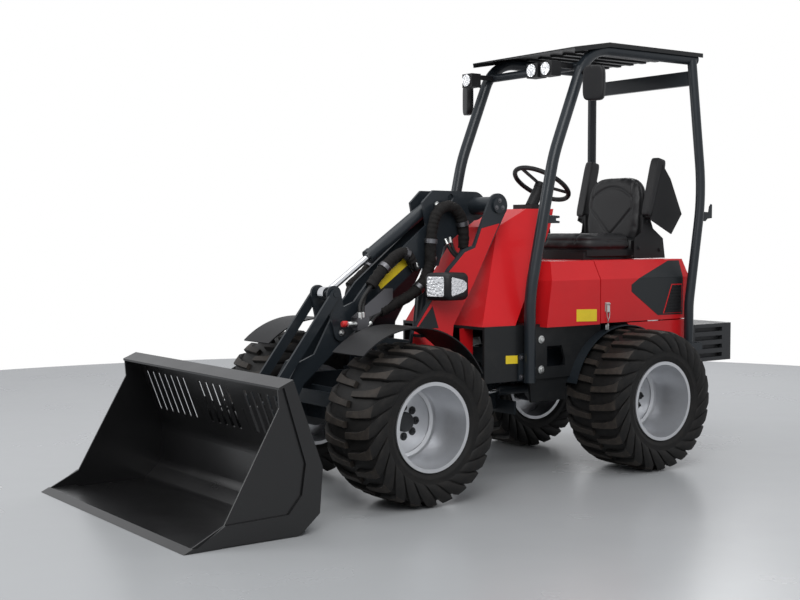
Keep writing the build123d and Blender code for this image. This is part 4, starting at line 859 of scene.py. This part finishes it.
class LOADER_OT_seat(bpy.types.Operator):
    """Upholsters the seat's cushion and backrest, and fits the pan and brackets that carry them"""

    bl_idname = "loader.seat"
    bl_label = "Seat"

    def execute(self, context):
        low, high = (Vector(corner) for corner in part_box("seat_cushion"))
        low += Vector((0.004, 0.004, 0.002))
        high += Vector((-0.004, -0.004, 0.010))
        middle = (low + high) / 2
        width = (high - low).y
        length = (high - low).x
        inner = 0.29 * width
        seams = (
            lambda p: where(p.z > middle.z, abs(abs(p.y) - inner - 0.10 * (middle.x - p.x))),
            lambda p: where(p.z > middle.z and abs(p.y) < inner, abs(p.x - (high.x - 0.26 * length))),
            lambda p: abs(p.z - (high.z - 0.030)),
            lambda p: abs(p.z - (low.z + 0.016)),
        )
        make_pad("seat_cushion_pad", low, high, 4.4, seams, "seat_cushion")
        self.back()
        self.pan()
        return {"FINISHED"}

    def pan(self):
        """The pan under the cushion and the folding brackets at its rear corners."""
        builder = bmesh.new()
        add_side_slab(builder, SEAT_BRACKET, SEAT_BRACKET_Y, 0.005, 0.001)
        for x, z in SEAT_BRACKET_BOLTS:
            add_bolt(builder, place(x, SEAT_BRACKET_Y + 5, z), LEFT, sizes().bolt_radius * 0.8)
        add_other_side(builder)
        for centre, half in SEAT_PAN_BLOCKS:
            add_pad_box(builder, place(*centre), Vector(half) * MM, 9.0)
        piece_from("seat_pan", builder, "black_plastic", "hood")

    def back(self):
        low, high = (Vector(corner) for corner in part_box("seat_back"))
        middle = (low + high) / 2
        height, width = high.z - low.z, high.y - low.y
        half = Vector((height / 2 - 0.004, width / 2 - 0.004, BACK_DEPTH / 2))
        wing = 0.36 * width
        seams = (
            lambda p: where(p.z > 0 and abs(p.y) < wing, abs(p.x - 0.145 + 1.1 * p.y * p.y / width)),
            lambda p: where(p.z > 0 and p.x > 0.02, abs(abs(p.y) - wing + 0.05 * (p.x - 0.05))),
            lambda p: where(
                p.z > 0 and -0.15 < p.x <= 0.02, abs(abs(p.y) - wing - 1.05 * (p.x - 0.02)) * 0.69),
            lambda p: abs(p.z - BACK_DEPTH * 0.18),
        )
        lean = math.atan2(BACK_LEAN, height)
        stand = Matrix.Translation(middle) @ Matrix.Rotation(-lean, 4, "Y") @ Matrix(
            ((0, 0, 1, 0), (0, -1, 0, 0), (1, 0, 0, 0), (0, 0, 0, 1)))
        make_pad("seat_back_pad", -half, half, 3.4, seams, "seat_back", stand)


ARMREST_PLACE = (-1885, 262, 1512)
ARMREST_HALF = Vector((0.036, 0.031, 0.166))
ARMREST_LEAN = math.radians(-14)


class LOADER_OT_armrests(bpy.types.Operator):
    """Pads the armrests, which stand folded up beside the backrest"""

    bl_idname = "loader.armrests"
    bl_label = "Armrests"

    def execute(self, context):
        builder = bmesh.new()
        add_pad_box(builder, place(*ARMREST_PLACE), ARMREST_HALF, 8.0, Matrix.Rotation(ARMREST_LEAN, 3, "Y"))
        add_other_side(builder)
        bmesh.ops.subdivide_edges(builder, edges=builder.edges[:], cuts=1, use_grid_fill=True)
        pads = piece_from("armrest_pads", builder, "seat_vinyl", "hood")
        return {"FINISHED"}


# Hoses

BOOM_PIN = (-745, 1400)
BOOM_SIDE_Y = 60
SLEEVE_Y = 94
# Side, route and clips as (x, z) steps from the boom's rear pin, and the solid that a sleeve stands for
SLEEVES = {
    "knee_loop_sleeve": (
        1, ((105, -220), (90, -70), (205, 20), (320, -70), (320, -290)), ((92, -90), (320, -180)),
        "boom_hoses"),
    "boom_left_sleeve": (
        1, ((435, -290), (475, -210), (615, -310), (690, -400)), ((475, -240), (600, -318)), "boom_hoses"),
    "boom_low_sleeve": (
        1, ((318, -296), (346, -363), (393, -424), (499, -482), (636, -528)), ((393, -424),), None),
    "boom_right_sleeve": (
        -1, ((185, -70), (320, -100), (445, -230), (690, -410)), ((320, -120), (560, -318)), "boom_hoses"),
}
# Single hoses in millimetres, from one sleeve's end to the next or to a fitting
HOSES = (
    ((-306, 88, 1116), (-312, 90, 1092), (-324, 84, 1076), (-336, 62, 1082)),
    ((-316, 102, 1114), (-326, 104, 1082), (-346, 94, 1068), (-362, 62, 1098)),
    ((-112, 88, 874), (-70, 96, 858), (-40, 112, 842), (-18, 124, 826), (4, 125, 812)),
    ((-112, 104, 870), (-66, 116, 850), (-38, 136, 834), (-18, 148, 822), (4, 149, 808)),
    ((-60, 88, 1004), (-25, 92, 962), (2, 108, 905), (14, 124, 872), (14, 125, 846)),
    ((-56, 102, 1002), (-14, 108, 966), (36, 128, 910), (48, 147, 874), (48, 149, 846)),
    ((-58, -88, 994), (-42, -88, 966), (-52, -80, 934), (-72, -61, 922)),
    ((-56, -102, 992), (-34, -102, 952), (-44, -90, 904), (-74, -61, 890)),
    ((-562, -88, 1331), (-590, -88, 1344), (-612, -78, 1336), (-616, -62, 1318)),
    ((-562, -100, 1329), (-602, -100, 1352), (-638, -84, 1336), (-640, -62, 1310)),
    ((-634, 88, 1182), (-630, 88, 1152), (-606, 84, 1146), (-586, 74, 1178), (-578, 61, 1234)),
    ((-644, 100, 1182), (-644, 100, 1140), (-604, 98, 1124), (-562, 84, 1168), (-548, 61, 1224)),
)
# Turned profiles as (along the hose, height over its surface)
CLIP_BAND = ((-0.012, -0.001), (-0.011, 0.003), (0.011, 0.003), (0.012, -0.001))
HOSE_COLLAR = ((-0.004, 0.001), (-0.004, 0.003), (0.026, 0.003), (0.028, 0.001))


def add_band(builder, steps, radius, centre, along, segments):
    """A ring round a hose from its steps over the hose's surface."""
    profile = [(step, radius + height) for step, height in steps]
    lathe(builder, profile, centre, along, segments, closed=True)


def wrinkled(radius):
    """A sleeve's radius, with loose rings and folds that follow no even beat."""
    def radius_at(distance, angle):
        swell = 0.6 + 0.4 * math.sin(angle + distance * 17)
        rings = math.sin(distance * 235 + 2.2 * math.sin(distance * 31)) * swell
        folds = math.sin(2 * angle + distance * 44) * math.sin(distance * 63 + 1.0)
        return radius * (0.935 + 0.050 * rings + 0.060 * folds)
    return radius_at


def add_clip(builder, line, point, side):
    """A band round a sleeve on a post from the boom's side plate."""
    index = min(range(1, len(line) - 1), key=lambda number: (line[number] - point).length)
    along = line[index + 1] - line[index - 1]
    add_band(builder, CLIP_BAND, sizes().sleeve_radius, line[index], along, 32)
    foot = Vector((line[index].x, side * BOOM_SIDE_Y * MM, line[index].z))
    reach = abs(line[index].y) - BOOM_SIDE_Y * MM
    lathe(builder, ((0.0, 0.019), (0.004, 0.019), (0.0045, 0.012), (reach, 0.012)), foot, (0, side, 0), 24)


class LOADER_OT_hoses(bpy.types.Operator):
    """Runs the sleeved hose bundles along the boom, with their clips and the single hoses at their ends"""

    bl_idname = "loader.hoses"
    bl_label = "Hoses"

    def execute(self, context):
        clips = bmesh.new()
        for name, (side, route, clip_steps, solid) in SLEEVES.items():
            points = [place(BOOM_PIN[0] + x, side * SLEEVE_Y, BOOM_PIN[1] + z) for x, z in route]
            line = route_line(points, 44)
            builder = bmesh.new()
            add_tube(builder, line, wrinkled(sizes().sleeve_radius), 28)
            sleeve = piece_from(name, builder, "woven_sleeve", "boom")
            if solid:
                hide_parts(solid)
            for x, z in clip_steps:
                add_clip(clips, line, place(BOOM_PIN[0] + x, side * SLEEVE_Y, BOOM_PIN[1] + z), side)
        piece_from("sleeve_clips", clips, "dark_steel", "boom")
        radius = sizes().hose_radius
        hoses = bmesh.new()
        collars = bmesh.new()
        for route in HOSES:
            line = route_line([place(*point) for point in route], 14)
            add_tube(hoses, line, lambda distance, angle: radius, 14)
            add_band(collars, HOSE_COLLAR, radius, line[-1], line[-3] - line[-1], 20)
        piece_from("boom_single_hoses", hoses, "hose_rubber", "boom")
        piece_from("hose_collars", collars, "zinc", "boom")
        return {"FINISHED"}


# Lamps and mirrors

WORK_LIGHT_FRONT_X = -1010
WORK_LIGHT_Z = 2109.5
WORK_LIGHTS_Y = (-330, 210, 318)
# Turned profiles as (ahead of the housing, radius)
WORK_LIGHT_BOWL = ((0.0, 0.0066), (0.0005, 0.0132), (0.003, 0.0231), (0.007, 0.03069), (0.008, 0.033))
WORK_LIGHT_BULB = ((0.0, 0.0066), (0.004, 0.00627), (0.006, 0.0033))
WORK_LIGHT_LENS = ((0.0, 0.031), (0.008, 0.032), (0.010, 0.029), (0.0105, 0.012))

MIRROR_PLACE = (-1165, 512, 2028)
MIRROR_TURN = math.radians(25)
MIRROR_HALF = Vector((0.090, 0.0575, 0.020))
MIRROR_GLASS_HALF = Vector((0.080, 0.049, 0.004))
MIRROR_GLASS_STEP = Vector((-0.0175, 0, 0))
MIRROR_ARM = ((-1190, 392, 2086), (-1172, 440, 2104), (-1150, 505, 2116), (-1150, 512, 2100),
              (-1158, 512, 2060))
MIRROR_ARM_RADIUS = 0.009

# Outline of a headlamp from above as (x, y), and its levels as (z, inset)
LAMP_PLAN = ((-466, 250), (-282, 250), (-264, 262), (-262, 276), (-304, 366), (-316, 380), (-332, 384),
             (-452, 362), (-466, 348))
LAMP_LEVELS = ((928, 26), (932, 14), (944, 3), (952, 0), (1040, 0), (1048, 3), (1060, 14), (1064, 26))
# A lamp face's two ends in the outline, and its lens as (along, z)
LAMP_FACES = (
    ((-262, 276), (-304, 366),
     ((91, 948), (6, 948), (2, 956), (2, 1038), (9, 1046), (89, 1046), (96, 1038), (96, 956))),
    ((-332, 384), (-452, 362),
     ((116, 984), (92, 968), (10, 950), (2, 956), (2, 1038), (10, 1044), (92, 1028), (116, 1012))),
)


class LOADER_OT_lamps(bpy.types.Operator):
    """Builds the headlamps and mirrors and fits lenses in the work lights"""

    bl_idname = "loader.lamps"
    bl_label = "Lamps"

    def execute(self, context):
        self.headlamps()
        self.work_lights()
        self.mirrors()
        return {"FINISHED"}

    def headlamps(self):
        """Rounded housings with a fluted front lamp turned a little outwards and a tapering side lamp."""
        housing = bmesh.new()
        reflectors = bmesh.new()
        lenses = bmesh.new()
        middle = sum((Vector(corner) for corner in LAMP_PLAN), Vector((0, 0))) / len(LAMP_PLAN)
        rings = []
        for z, inset in LAMP_LEVELS:
            ring = []
            for corner in LAMP_PLAN:
                flat = Vector(corner)
                flat += (middle - flat).normalized() * inset
                ring.append(housing.verts.new(place(flat.x, flat.y, z)))
            rings.append(ring)
        add_skin(housing, rings)
        for start, end, outline in LAMP_FACES:
            across = place(*end, 0) - place(*start, 0)
            back = place(*start, 0) - across.cross(UP).normalized() * 1.5 * MM
            flat = [(along * MM, z * MM) for along, z in outline]
            add_slab(reflectors, flat, back, across, UP, 0.002, 0.001)
            add_slab(lenses, flat, back, across, UP, 0.004, 0.003)
        lamp = pair_from("headlamp_housings", housing, "black_plastic", "front_frame")
        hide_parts("headlamps")
        pair_from("headlamp_reflectors", reflectors, "lamp_reflector", "front_frame")
        pair_from("headlamp_lenses", lenses, "lamp_lens", "front_frame")

    def work_lights(self):
        reflectors = bmesh.new()
        lenses = bmesh.new()
        for y in WORK_LIGHTS_Y:
            centre = place(WORK_LIGHT_FRONT_X, y, WORK_LIGHT_Z)
            lathe(reflectors, WORK_LIGHT_BOWL, centre, FORWARD, 36)
            lathe(reflectors, WORK_LIGHT_BULB, centre, FORWARD, 20)
            lathe(lenses, WORK_LIGHT_LENS, centre, FORWARD, 36)
        piece_from("work_light_reflectors", reflectors, "lamp_reflector", "rear_frame")
        piece_from("work_light_lenses", lenses, "lamp_lens", "rear_frame")

    def mirrors(self):
        """Rounded heads on bent arms, each turned towards the seat, with glass at the back."""
        heads = bmesh.new()
        glass = bmesh.new()
        turn = Matrix.Rotation(MIRROR_TURN, 3, "Z")
        upright = turn @ Matrix.Rotation(math.radians(90), 3, "Y")
        centre = place(*MIRROR_PLACE)
        add_pad_box(heads, centre, MIRROR_HALF, 5.0, upright)
        add_pad_box(glass, centre + turn @ MIRROR_GLASS_STEP, MIRROR_GLASS_HALF, 5.0, upright)
        arm = route_line([place(*point) for point in MIRROR_ARM], 14)
        add_tube(heads, arm, lambda distance, angle: MIRROR_ARM_RADIUS, 14)
        mirrors = pair_from("mirror_heads", heads, "black_plastic", "rear_frame")
        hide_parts("mirrors")
        pair_from("mirror_glasses", glass, "mirror_glass", "rear_frame")


# Flat panels, plates and vents

HOOD_SIDE_Y = 392
HOOD_SHOULDER_Z = 1010
TOWER_SIDE_Y = 250
SIDE_PANEL_Y = 345
FRONT_POST_Y = 375
REAR_POST_Y = 434
# Outlines on the left side as (x, z)
TOWER_RED = ((-166, 582), (-207, 782), (-431, 1073), (-526, 1162), (-592, 1184), (-634, 1282), (-752, 1308),
             (-583, 1003), (-451, 795), (-428, 582))
TOWER_DARK = ((-318, 898), (-222, 790), (-356, 786))
HOOD_DARK = ((-1577, 976), (-1577, 938), (-1785, 802), (-1988, 800), (-1988, 1010), (-1636, 1010))
VENT = ((-1893, 972), (-1826, 810), (-1976, 808), (-1980, 972))
VENT_BACKING = ((-1898, 966), (-1836, 814), (-1973, 812), (-1976, 966))
HOOD_PLATE = ((-1166, 792), (-1314, 788), (-1314, 852), (-1166, 856))
PANEL_PLATE = ((-716, 592), (-806, 589), (-806, 631), (-716, 634))
BOOM_PLATE = ((-140, 980), (-306, 1098), (-282, 1132), (-116, 1014))
FRONT_POST_FORK = ((-925, 1372), (-975, 1352), (-1053, 1347), (-1053, 1336), (-1028, 1334), (-1028, 1322),
                   (-1053, 1320), (-1053, 1309), (-925, 1308))
REAR_POST_HOOK = ((-2070, 1376), (-2146, 1374), (-2152, 1404), (-2166, 1420), (-2174, 1416), (-2174, 1340),
                  (-2136, 1336), (-2120, 1322), (-2070, 1324))
LATCH_FOOT = ((-1378, 738), (-1404, 738), (-1404, 767), (-1378, 767))
LATCH_HOOK = ((-1386, 752), (-1396, 752), (-1396, 774), (-1386, 774))
# Body, finish, slot, and plates as (outline, y, thickness, bevel)
SIDE_PANELS = {
    "tower_red_panels": ("front_frame", "red_paint", "red_paint", ((TOWER_RED, TOWER_SIDE_Y, 0.002, 0.001),)),
    "tower_dark_panels": (
        "front_frame", "graphic_black", "grey_paint", ((TOWER_DARK, TOWER_SIDE_Y + 2, 0.001, 0.0005),)),
    "hood_vent_lines": ("hood", "red_paint", "red_paint", ((VENT, HOOD_SIDE_Y + 1.5, 0.001, 0.0),)),
    "blank_plates_0": (
        "rear_frame", "blank_plate", "grey_paint", ((HOOD_PLATE, HOOD_SIDE_Y, 0.0015, 0.0007),)),
    "blank_plates_1": (
        "rear_frame", "blank_plate", "grey_paint", ((PANEL_PLATE, SIDE_PANEL_Y, 0.0015, 0.0007),)),
    "blank_plates_2": ("boom", "blank_plate", "grey_paint", ((BOOM_PLATE, BOOM_SIDE_Y, 0.0015, 0.0007),)),
    "post_brackets": (
        "rear_frame", "grey_paint", "grey_paint",
        ((FRONT_POST_FORK, FRONT_POST_Y, 0.006, 0.001), (REAR_POST_HOOK, REAR_POST_Y, 0.006, 0.001))),
    "latch_hooks": (
        "rear_frame", "zinc", "grey_paint",
        ((LATCH_FOOT, HOOD_SIDE_Y, 0.003, 0.001), (LATCH_HOOK, HOOD_SIDE_Y + 3, 0.006, 0.002))),
}
# The dark panel's upper part, as (x, up the slope), and the slope's direction
HOOD_DARK_SLOPE = ((-1636, 0), (-1988, 0), (-2008, 104), (-1918, 104))
HOOD_SLOPE = (0, -55, 100)
VENT_SLATS = 9
SLAT_HALF = 5
SLAT_INSET = 9
SLAT_REAR_X = (-1972, -1974)
GRILLE_X = -2040
GRILLE_PLATE = ((-0.26, 0.84), (0.26, 0.84), (0.26, 1.0), (-0.26, 1.0))
GRILLE_BARS = 8
GRILLE_BAR_HALF_LENGTH = 0.25
GRILLE_BAR_HEIGHT = 0.010
GRILLE_LOW_Z = 0.852
GRILLE_PITCH = 0.0195


class LOADER_OT_panels(bpy.types.Operator):
    """Fits the painted panels, vents, blank plates and flat brackets"""

    bl_idname = "loader.panels"
    bl_label = "Panels and plates"

    def execute(self, context):
        for name, (body, finish, slot, plates) in SIDE_PANELS.items():
            builder = bmesh.new()
            for outline, y, thickness, bevel in plates:
                add_side_slab(builder, outline, y, thickness, bevel)
            pair_from(name, builder, finish, body)
        self.hood_panels()
        self.hood_slats()
        self.rear_grille()
        return {"FINISHED"}

    def hood_panels(self):
        """The dark panels, which fold over the hood's shoulder."""
        dark = bmesh.new()
        add_side_slab(dark, HOOD_DARK, HOOD_SIDE_Y, 0.0015, 0.0005)
        slope = [(-x * MM, up * MM) for x, up in HOOD_DARK_SLOPE]
        edge = Vector((FRONT_AXLE.x, HOOD_SIDE_Y * MM, HOOD_SHOULDER_Z * MM))
        add_slab(dark, slope, edge, -FORWARD, HOOD_SLOPE, 0.0015, 0.0005)
        pair_from("hood_dark_panels", dark, "graphic_black", "hood")

    def hood_slats(self):
        slats = bmesh.new()
        top, low = VENT[0], VENT[1]
        for count in range(VENT_SLATS):
            share = (count + 0.6) / VENT_SLATS
            x = top[0] + (low[0] - top[0]) * share - SLAT_INSET
            z = top[1] + (low[1] - top[1]) * share
            high, deep = z + SLAT_HALF, z - SLAT_HALF
            slat = ((x, high), (x, deep), (SLAT_REAR_X[0], deep), (SLAT_REAR_X[1], high))
            add_side_slab(slats, slat, HOOD_SIDE_Y + 2.5, 0.004, 0.002)
        add_side_slab(slats, VENT_BACKING, HOOD_SIDE_Y + 2.4, 0.0006)
        pair_from("hood_vent_slats", slats, "black_plastic", "hood")

    def rear_grille(self):
        grille = bmesh.new()
        back = place(GRILLE_X, 0, 0)
        add_slab(grille, GRILLE_PLATE, back, -LEFT, UP, 0.003, 0.001)
        for count in range(GRILLE_BARS):
            low = GRILLE_LOW_Z + GRILLE_PITCH * count
            high = low + GRILLE_BAR_HEIGHT
            reach = GRILLE_BAR_HALF_LENGTH
            bar = ((-reach, low), (reach, low), (reach, high), (-reach, high))
            add_slab(grille, bar, back - FORWARD * 0.003, -LEFT, UP, 0.006, 0.003)
        piece_from("hood_rear_grille", grille, "black_plastic", "hood")


# Fittings

# Body, finish, places of bolt heads on the left side, and their size against the usual
BOLTS = {
    "side_panel_bolts": ("rear_frame", "zinc", ((-959, SIDE_PANEL_Y, 705), (-959, SIDE_PANEL_Y, 548)), 1.25),
    "post_foot_bolts": (
        "rear_frame", "dark_steel",
        ((-886, 355, 520), (-814, 355, 520), (-886, 355, 620), (-814, 355, 620)), 0.9),
    "boom_pin_bolts": (
        "front_frame", "dark_steel", ((-745, 262, 1424), (-766, 262, 1388), (-724, 262, 1388)), 0.75),
    "boom_side_bolts": ("boom", "zinc", ((-490, 66, 1405), (-470, 66, 1130), (110, 81, 775)), 0.95),
}
# A latch's plate and lever as (x, z), its pin, and its two wires as routes
LATCH_PLATE = ((-1374, 838), (-1408, 838), (-1408, 886), (-1374, 886))
LATCH_LEVER = ((-1379, 832), (-1403, 832), (-1403, 872), (-1379, 872))
LATCH_PIN_PLACE = (-1391, 399, 878)
LATCH_PIN = ((-0.016, 0.004), (0.016, 0.004))
LATCH_WIRES = (
    ((-1380, 402, 836), (-1380, 402, 812), (-1391, 400, 788), (-1391, 399, 780)),
    ((-1402, 402, 836), (-1402, 402, 812), (-1391, 400, 788), (-1391, 399, 780)),
)
LATCH_WIRE_RADIUS = 0.0022
# The outlet's two couplings and the cap on the first, turned as (ahead of the block, radius)
OUTLETS = ((70, 125, 820), (70, 149, 820))
COUPLING = ((0.002, 0.0125), (0.010, 0.0125), (0.011, 0.0115), (0.020, 0.0118), (0.022, 0.013),
            (0.038, 0.013), (0.040, 0.0118), (0.050, 0.0118))
COUPLING_CAP = ((0.036, 0.0138), (0.040, 0.0155), (0.062, 0.0155), (0.066, 0.013), (0.067, 0.006))


class LOADER_OT_fittings(bpy.types.Operator):
    """Adds bolt heads, the hood's latches and the couplings of the hydraulic outlet"""

    bl_idname = "loader.fittings"
    bl_label = "Fittings"

    def execute(self, context):
        for name, (body, finish, spots, scale) in BOLTS.items():
            builder = bmesh.new()
            for spot in spots:
                add_bolt(builder, place(*spot), LEFT, sizes().bolt_radius * scale)
            pair_from(name, builder, finish, body)
        self.latches()
        self.outlet()
        return {"FINISHED"}

    def latches(self):
        latch = bmesh.new()
        add_side_slab(latch, LATCH_PLATE, HOOD_SIDE_Y, 0.003, 0.001)
        add_side_slab(latch, LATCH_LEVER, HOOD_SIDE_Y + 3, 0.009, 0.004)
        lathe(latch, LATCH_PIN, place(*LATCH_PIN_PLACE), FORWARD, 14)
        for route in LATCH_WIRES:
            wire = route_line([place(*point) for point in route], 8)
            add_tube(latch, wire, lambda distance, angle: LATCH_WIRE_RADIUS, 8)
        pair_from("hood_latches", latch, "zinc", "hood")

    def outlet(self):
        metal = bmesh.new()
        for spot in OUTLETS:
            lathe(metal, COUPLING, place(*spot), FORWARD, 28)
        piece_from("outlet_couplings", metal, "zinc", "boom")
        cap = bmesh.new()
        lathe(cap, COUPLING_CAP, place(*OUTLETS[0]), FORWARD, 28)
        piece_from("outlet_cap", cap, "red_cap", "boom")


# Stage

CAMERA_PLACE = (3554.7, 5281.4, 1267.0)
CAMERA_YAW = math.radians(36.139)
CAMERA_PITCH = math.radians(3.0555)
CAMERA_ROLL = math.radians(0.104)
CAMERA_LENS = 57.70
FLOOR_RADIUS = 6.4
# Place, the point that it faces, power in watts and width in metres
LIGHTS = {
    "key_light": ((3.0, 4.5, 5.0), (0, 0, 0.8), 200, 4.0),
    "top_light": ((0, 0, 6.0), (0, 0, 0), 105, 5.0),
    "fill_light": ((5.0, -3.0, 3.0), (0, 0, 0.8), 70, 3.0),
    "rear_light": ((-5.0, -3.0, 4.0), (0, 0, 0.8), 90, 3.0),
}


def add_light(name, location, target, energy, width):
    lamp = bpy.data.lights.new(name, "AREA")
    lamp.energy = energy
    lamp.shape = "DISK"
    lamp.size = width
    holder = bpy.data.objects.new(name, lamp)
    holder.location = location
    holder.rotation_euler = (Vector(target) - Vector(location)).to_track_quat("-Z", "Y").to_euler()
    bpy.context.collection.objects.link(holder)


class LOADER_OT_stage(bpy.types.Operator):
    """Sets the floor, lights and camera"""

    bl_idname = "loader.stage"
    bl_label = "Stage"

    def execute(self, context):
        scene = context.scene
        scene.view_settings.view_transform = "Standard"
        builder = bmesh.new()
        lathe(builder, ((-0.02, FLOOR_RADIUS), (-0.001, FLOOR_RADIUS)), Vector(), UP, 128)
        mesh = bpy.data.meshes.new("studio_floor")
        builder.to_mesh(mesh)
        builder.free()
        floor = bpy.data.objects.new("studio_floor", mesh)
        bpy.context.collection.objects.link(floor)
        finish = Finish("studio_floor", Specular_IOR_Level=0.35)
        cloud = finish.noise(1.2, 5.0)
        mesh.materials.append(finish.feed(
            Base_Color=finish.tint(cloud, colours().floor, 0.96, 1.04),
            Roughness=0.20 + 0.12 * cloud,
        ))
        self.world(scene)
        for name, settings in LIGHTS.items():
            add_light(name, *settings)
        self.camera(scene)
        return {"FINISHED"}

    def world(self, scene):
        """White to the camera and in reflections, and a soft grey light on the object."""
        world = bpy.data.worlds.new("studio")
        world.use_nodes = True
        scene.world = world
        nodes, links = world.node_tree.nodes, world.node_tree.links
        soft = nodes["Background"]
        soft.inputs["Color"].default_value = (0.9, 0.93, 1.0, 1)
        soft.inputs["Strength"].default_value = 0.45
        white = nodes.new("ShaderNodeBackground")
        white.inputs["Color"].default_value = (1, 1, 1, 1)
        white.inputs["Strength"].default_value = 1.0
        rays = nodes.new("ShaderNodeLightPath")
        seen = Output(world.node_tree, rays.outputs["Is Camera Ray"])
        seen = seen + Output(world.node_tree, rays.outputs["Is Transmission Ray"])
        seen = seen + 0.5 * Output(world.node_tree, rays.outputs["Is Glossy Ray"])
        mix = nodes.new("ShaderNodeMixShader")
        links.new(seen.socket, mix.inputs[0])
        links.new(soft.outputs[0], mix.inputs[1])
        links.new(white.outputs[0], mix.inputs[2])
        links.new(mix.outputs[0], nodes["World Output"].inputs[0])

    def camera(self, scene):
        data = bpy.data.cameras.new("photo_camera")
        data.lens = CAMERA_LENS
        data.sensor_width = 36.0
        data.clip_end = 100
        camera = bpy.data.objects.new("photo_camera", data)
        bpy.context.collection.objects.link(camera)
        level = -math.cos(CAMERA_PITCH)
        drop = -math.sin(CAMERA_PITCH)
        forward = Vector((math.sin(CAMERA_YAW) * level, math.cos(CAMERA_YAW) * level, drop))
        right = Vector((-math.cos(CAMERA_YAW), math.sin(CAMERA_YAW), 0))
        up = right.cross(forward)
        turned = Matrix.Rotation(CAMERA_ROLL, 3, forward)
        axes = Matrix((turned @ right, turned @ up, -forward)).transposed()
        camera.matrix_world = Matrix.Translation(place(*CAMERA_PLACE)) @ axes.to_4x4()
        scene.camera = camera


PIECE_OPERATORS = (
    LOADER_OT_paint, LOADER_OT_tyres, LOADER_OT_wheel_nuts, LOADER_OT_seat, LOADER_OT_armrests,
    LOADER_OT_hoses, LOADER_OT_lamps, LOADER_OT_panels, LOADER_OT_fittings, LOADER_OT_stage,
)


class LOADER_PT_sidebar(bpy.types.Panel):
    """The loader's pieces and settings"""

    bl_idname = "LOADER_PT_sidebar"
    bl_label = "Wheel loader"
    bl_space_type = "VIEW_3D"
    bl_region_type = "UI"
    bl_category = "Loader"

    def draw(self, context):
        for operator in PIECE_OPERATORS:
            self.layout.operator(operator.bl_idname)
        for group in (context.scene.loader_sizes, context.scene.loader_colours):
            for key in group.bl_rna.properties.keys():
                if key not in ("rna_type", "name"):
                    self.layout.prop(group, key)


CLASSES = (LoaderSizes, LoaderColours, *PIECE_OPERATORS, LOADER_PT_sidebar)


def register():
    for item in CLASSES:
        bpy.utils.register_class(item)
    bpy.types.Scene.loader_sizes = PointerProperty(type=LoaderSizes)
    bpy.types.Scene.loader_colours = PointerProperty(type=LoaderColours)


def unregister():
    del bpy.types.Scene.loader_colours
    del bpy.types.Scene.loader_sizes
    for item in reversed(CLASSES):
        bpy.utils.unregister_class(item)


def main():
    register()
    bpy.ops.loader.paint()
    bpy.ops.loader.tyres()
    bpy.ops.loader.wheel_nuts()
    bpy.ops.loader.seat()
    bpy.ops.loader.armrests()
    bpy.ops.loader.hoses()
    bpy.ops.loader.lamps()
    bpy.ops.loader.panels()
    bpy.ops.loader.fittings()
    bpy.ops.loader.stage()


if __name__ == "__main__":
    main()
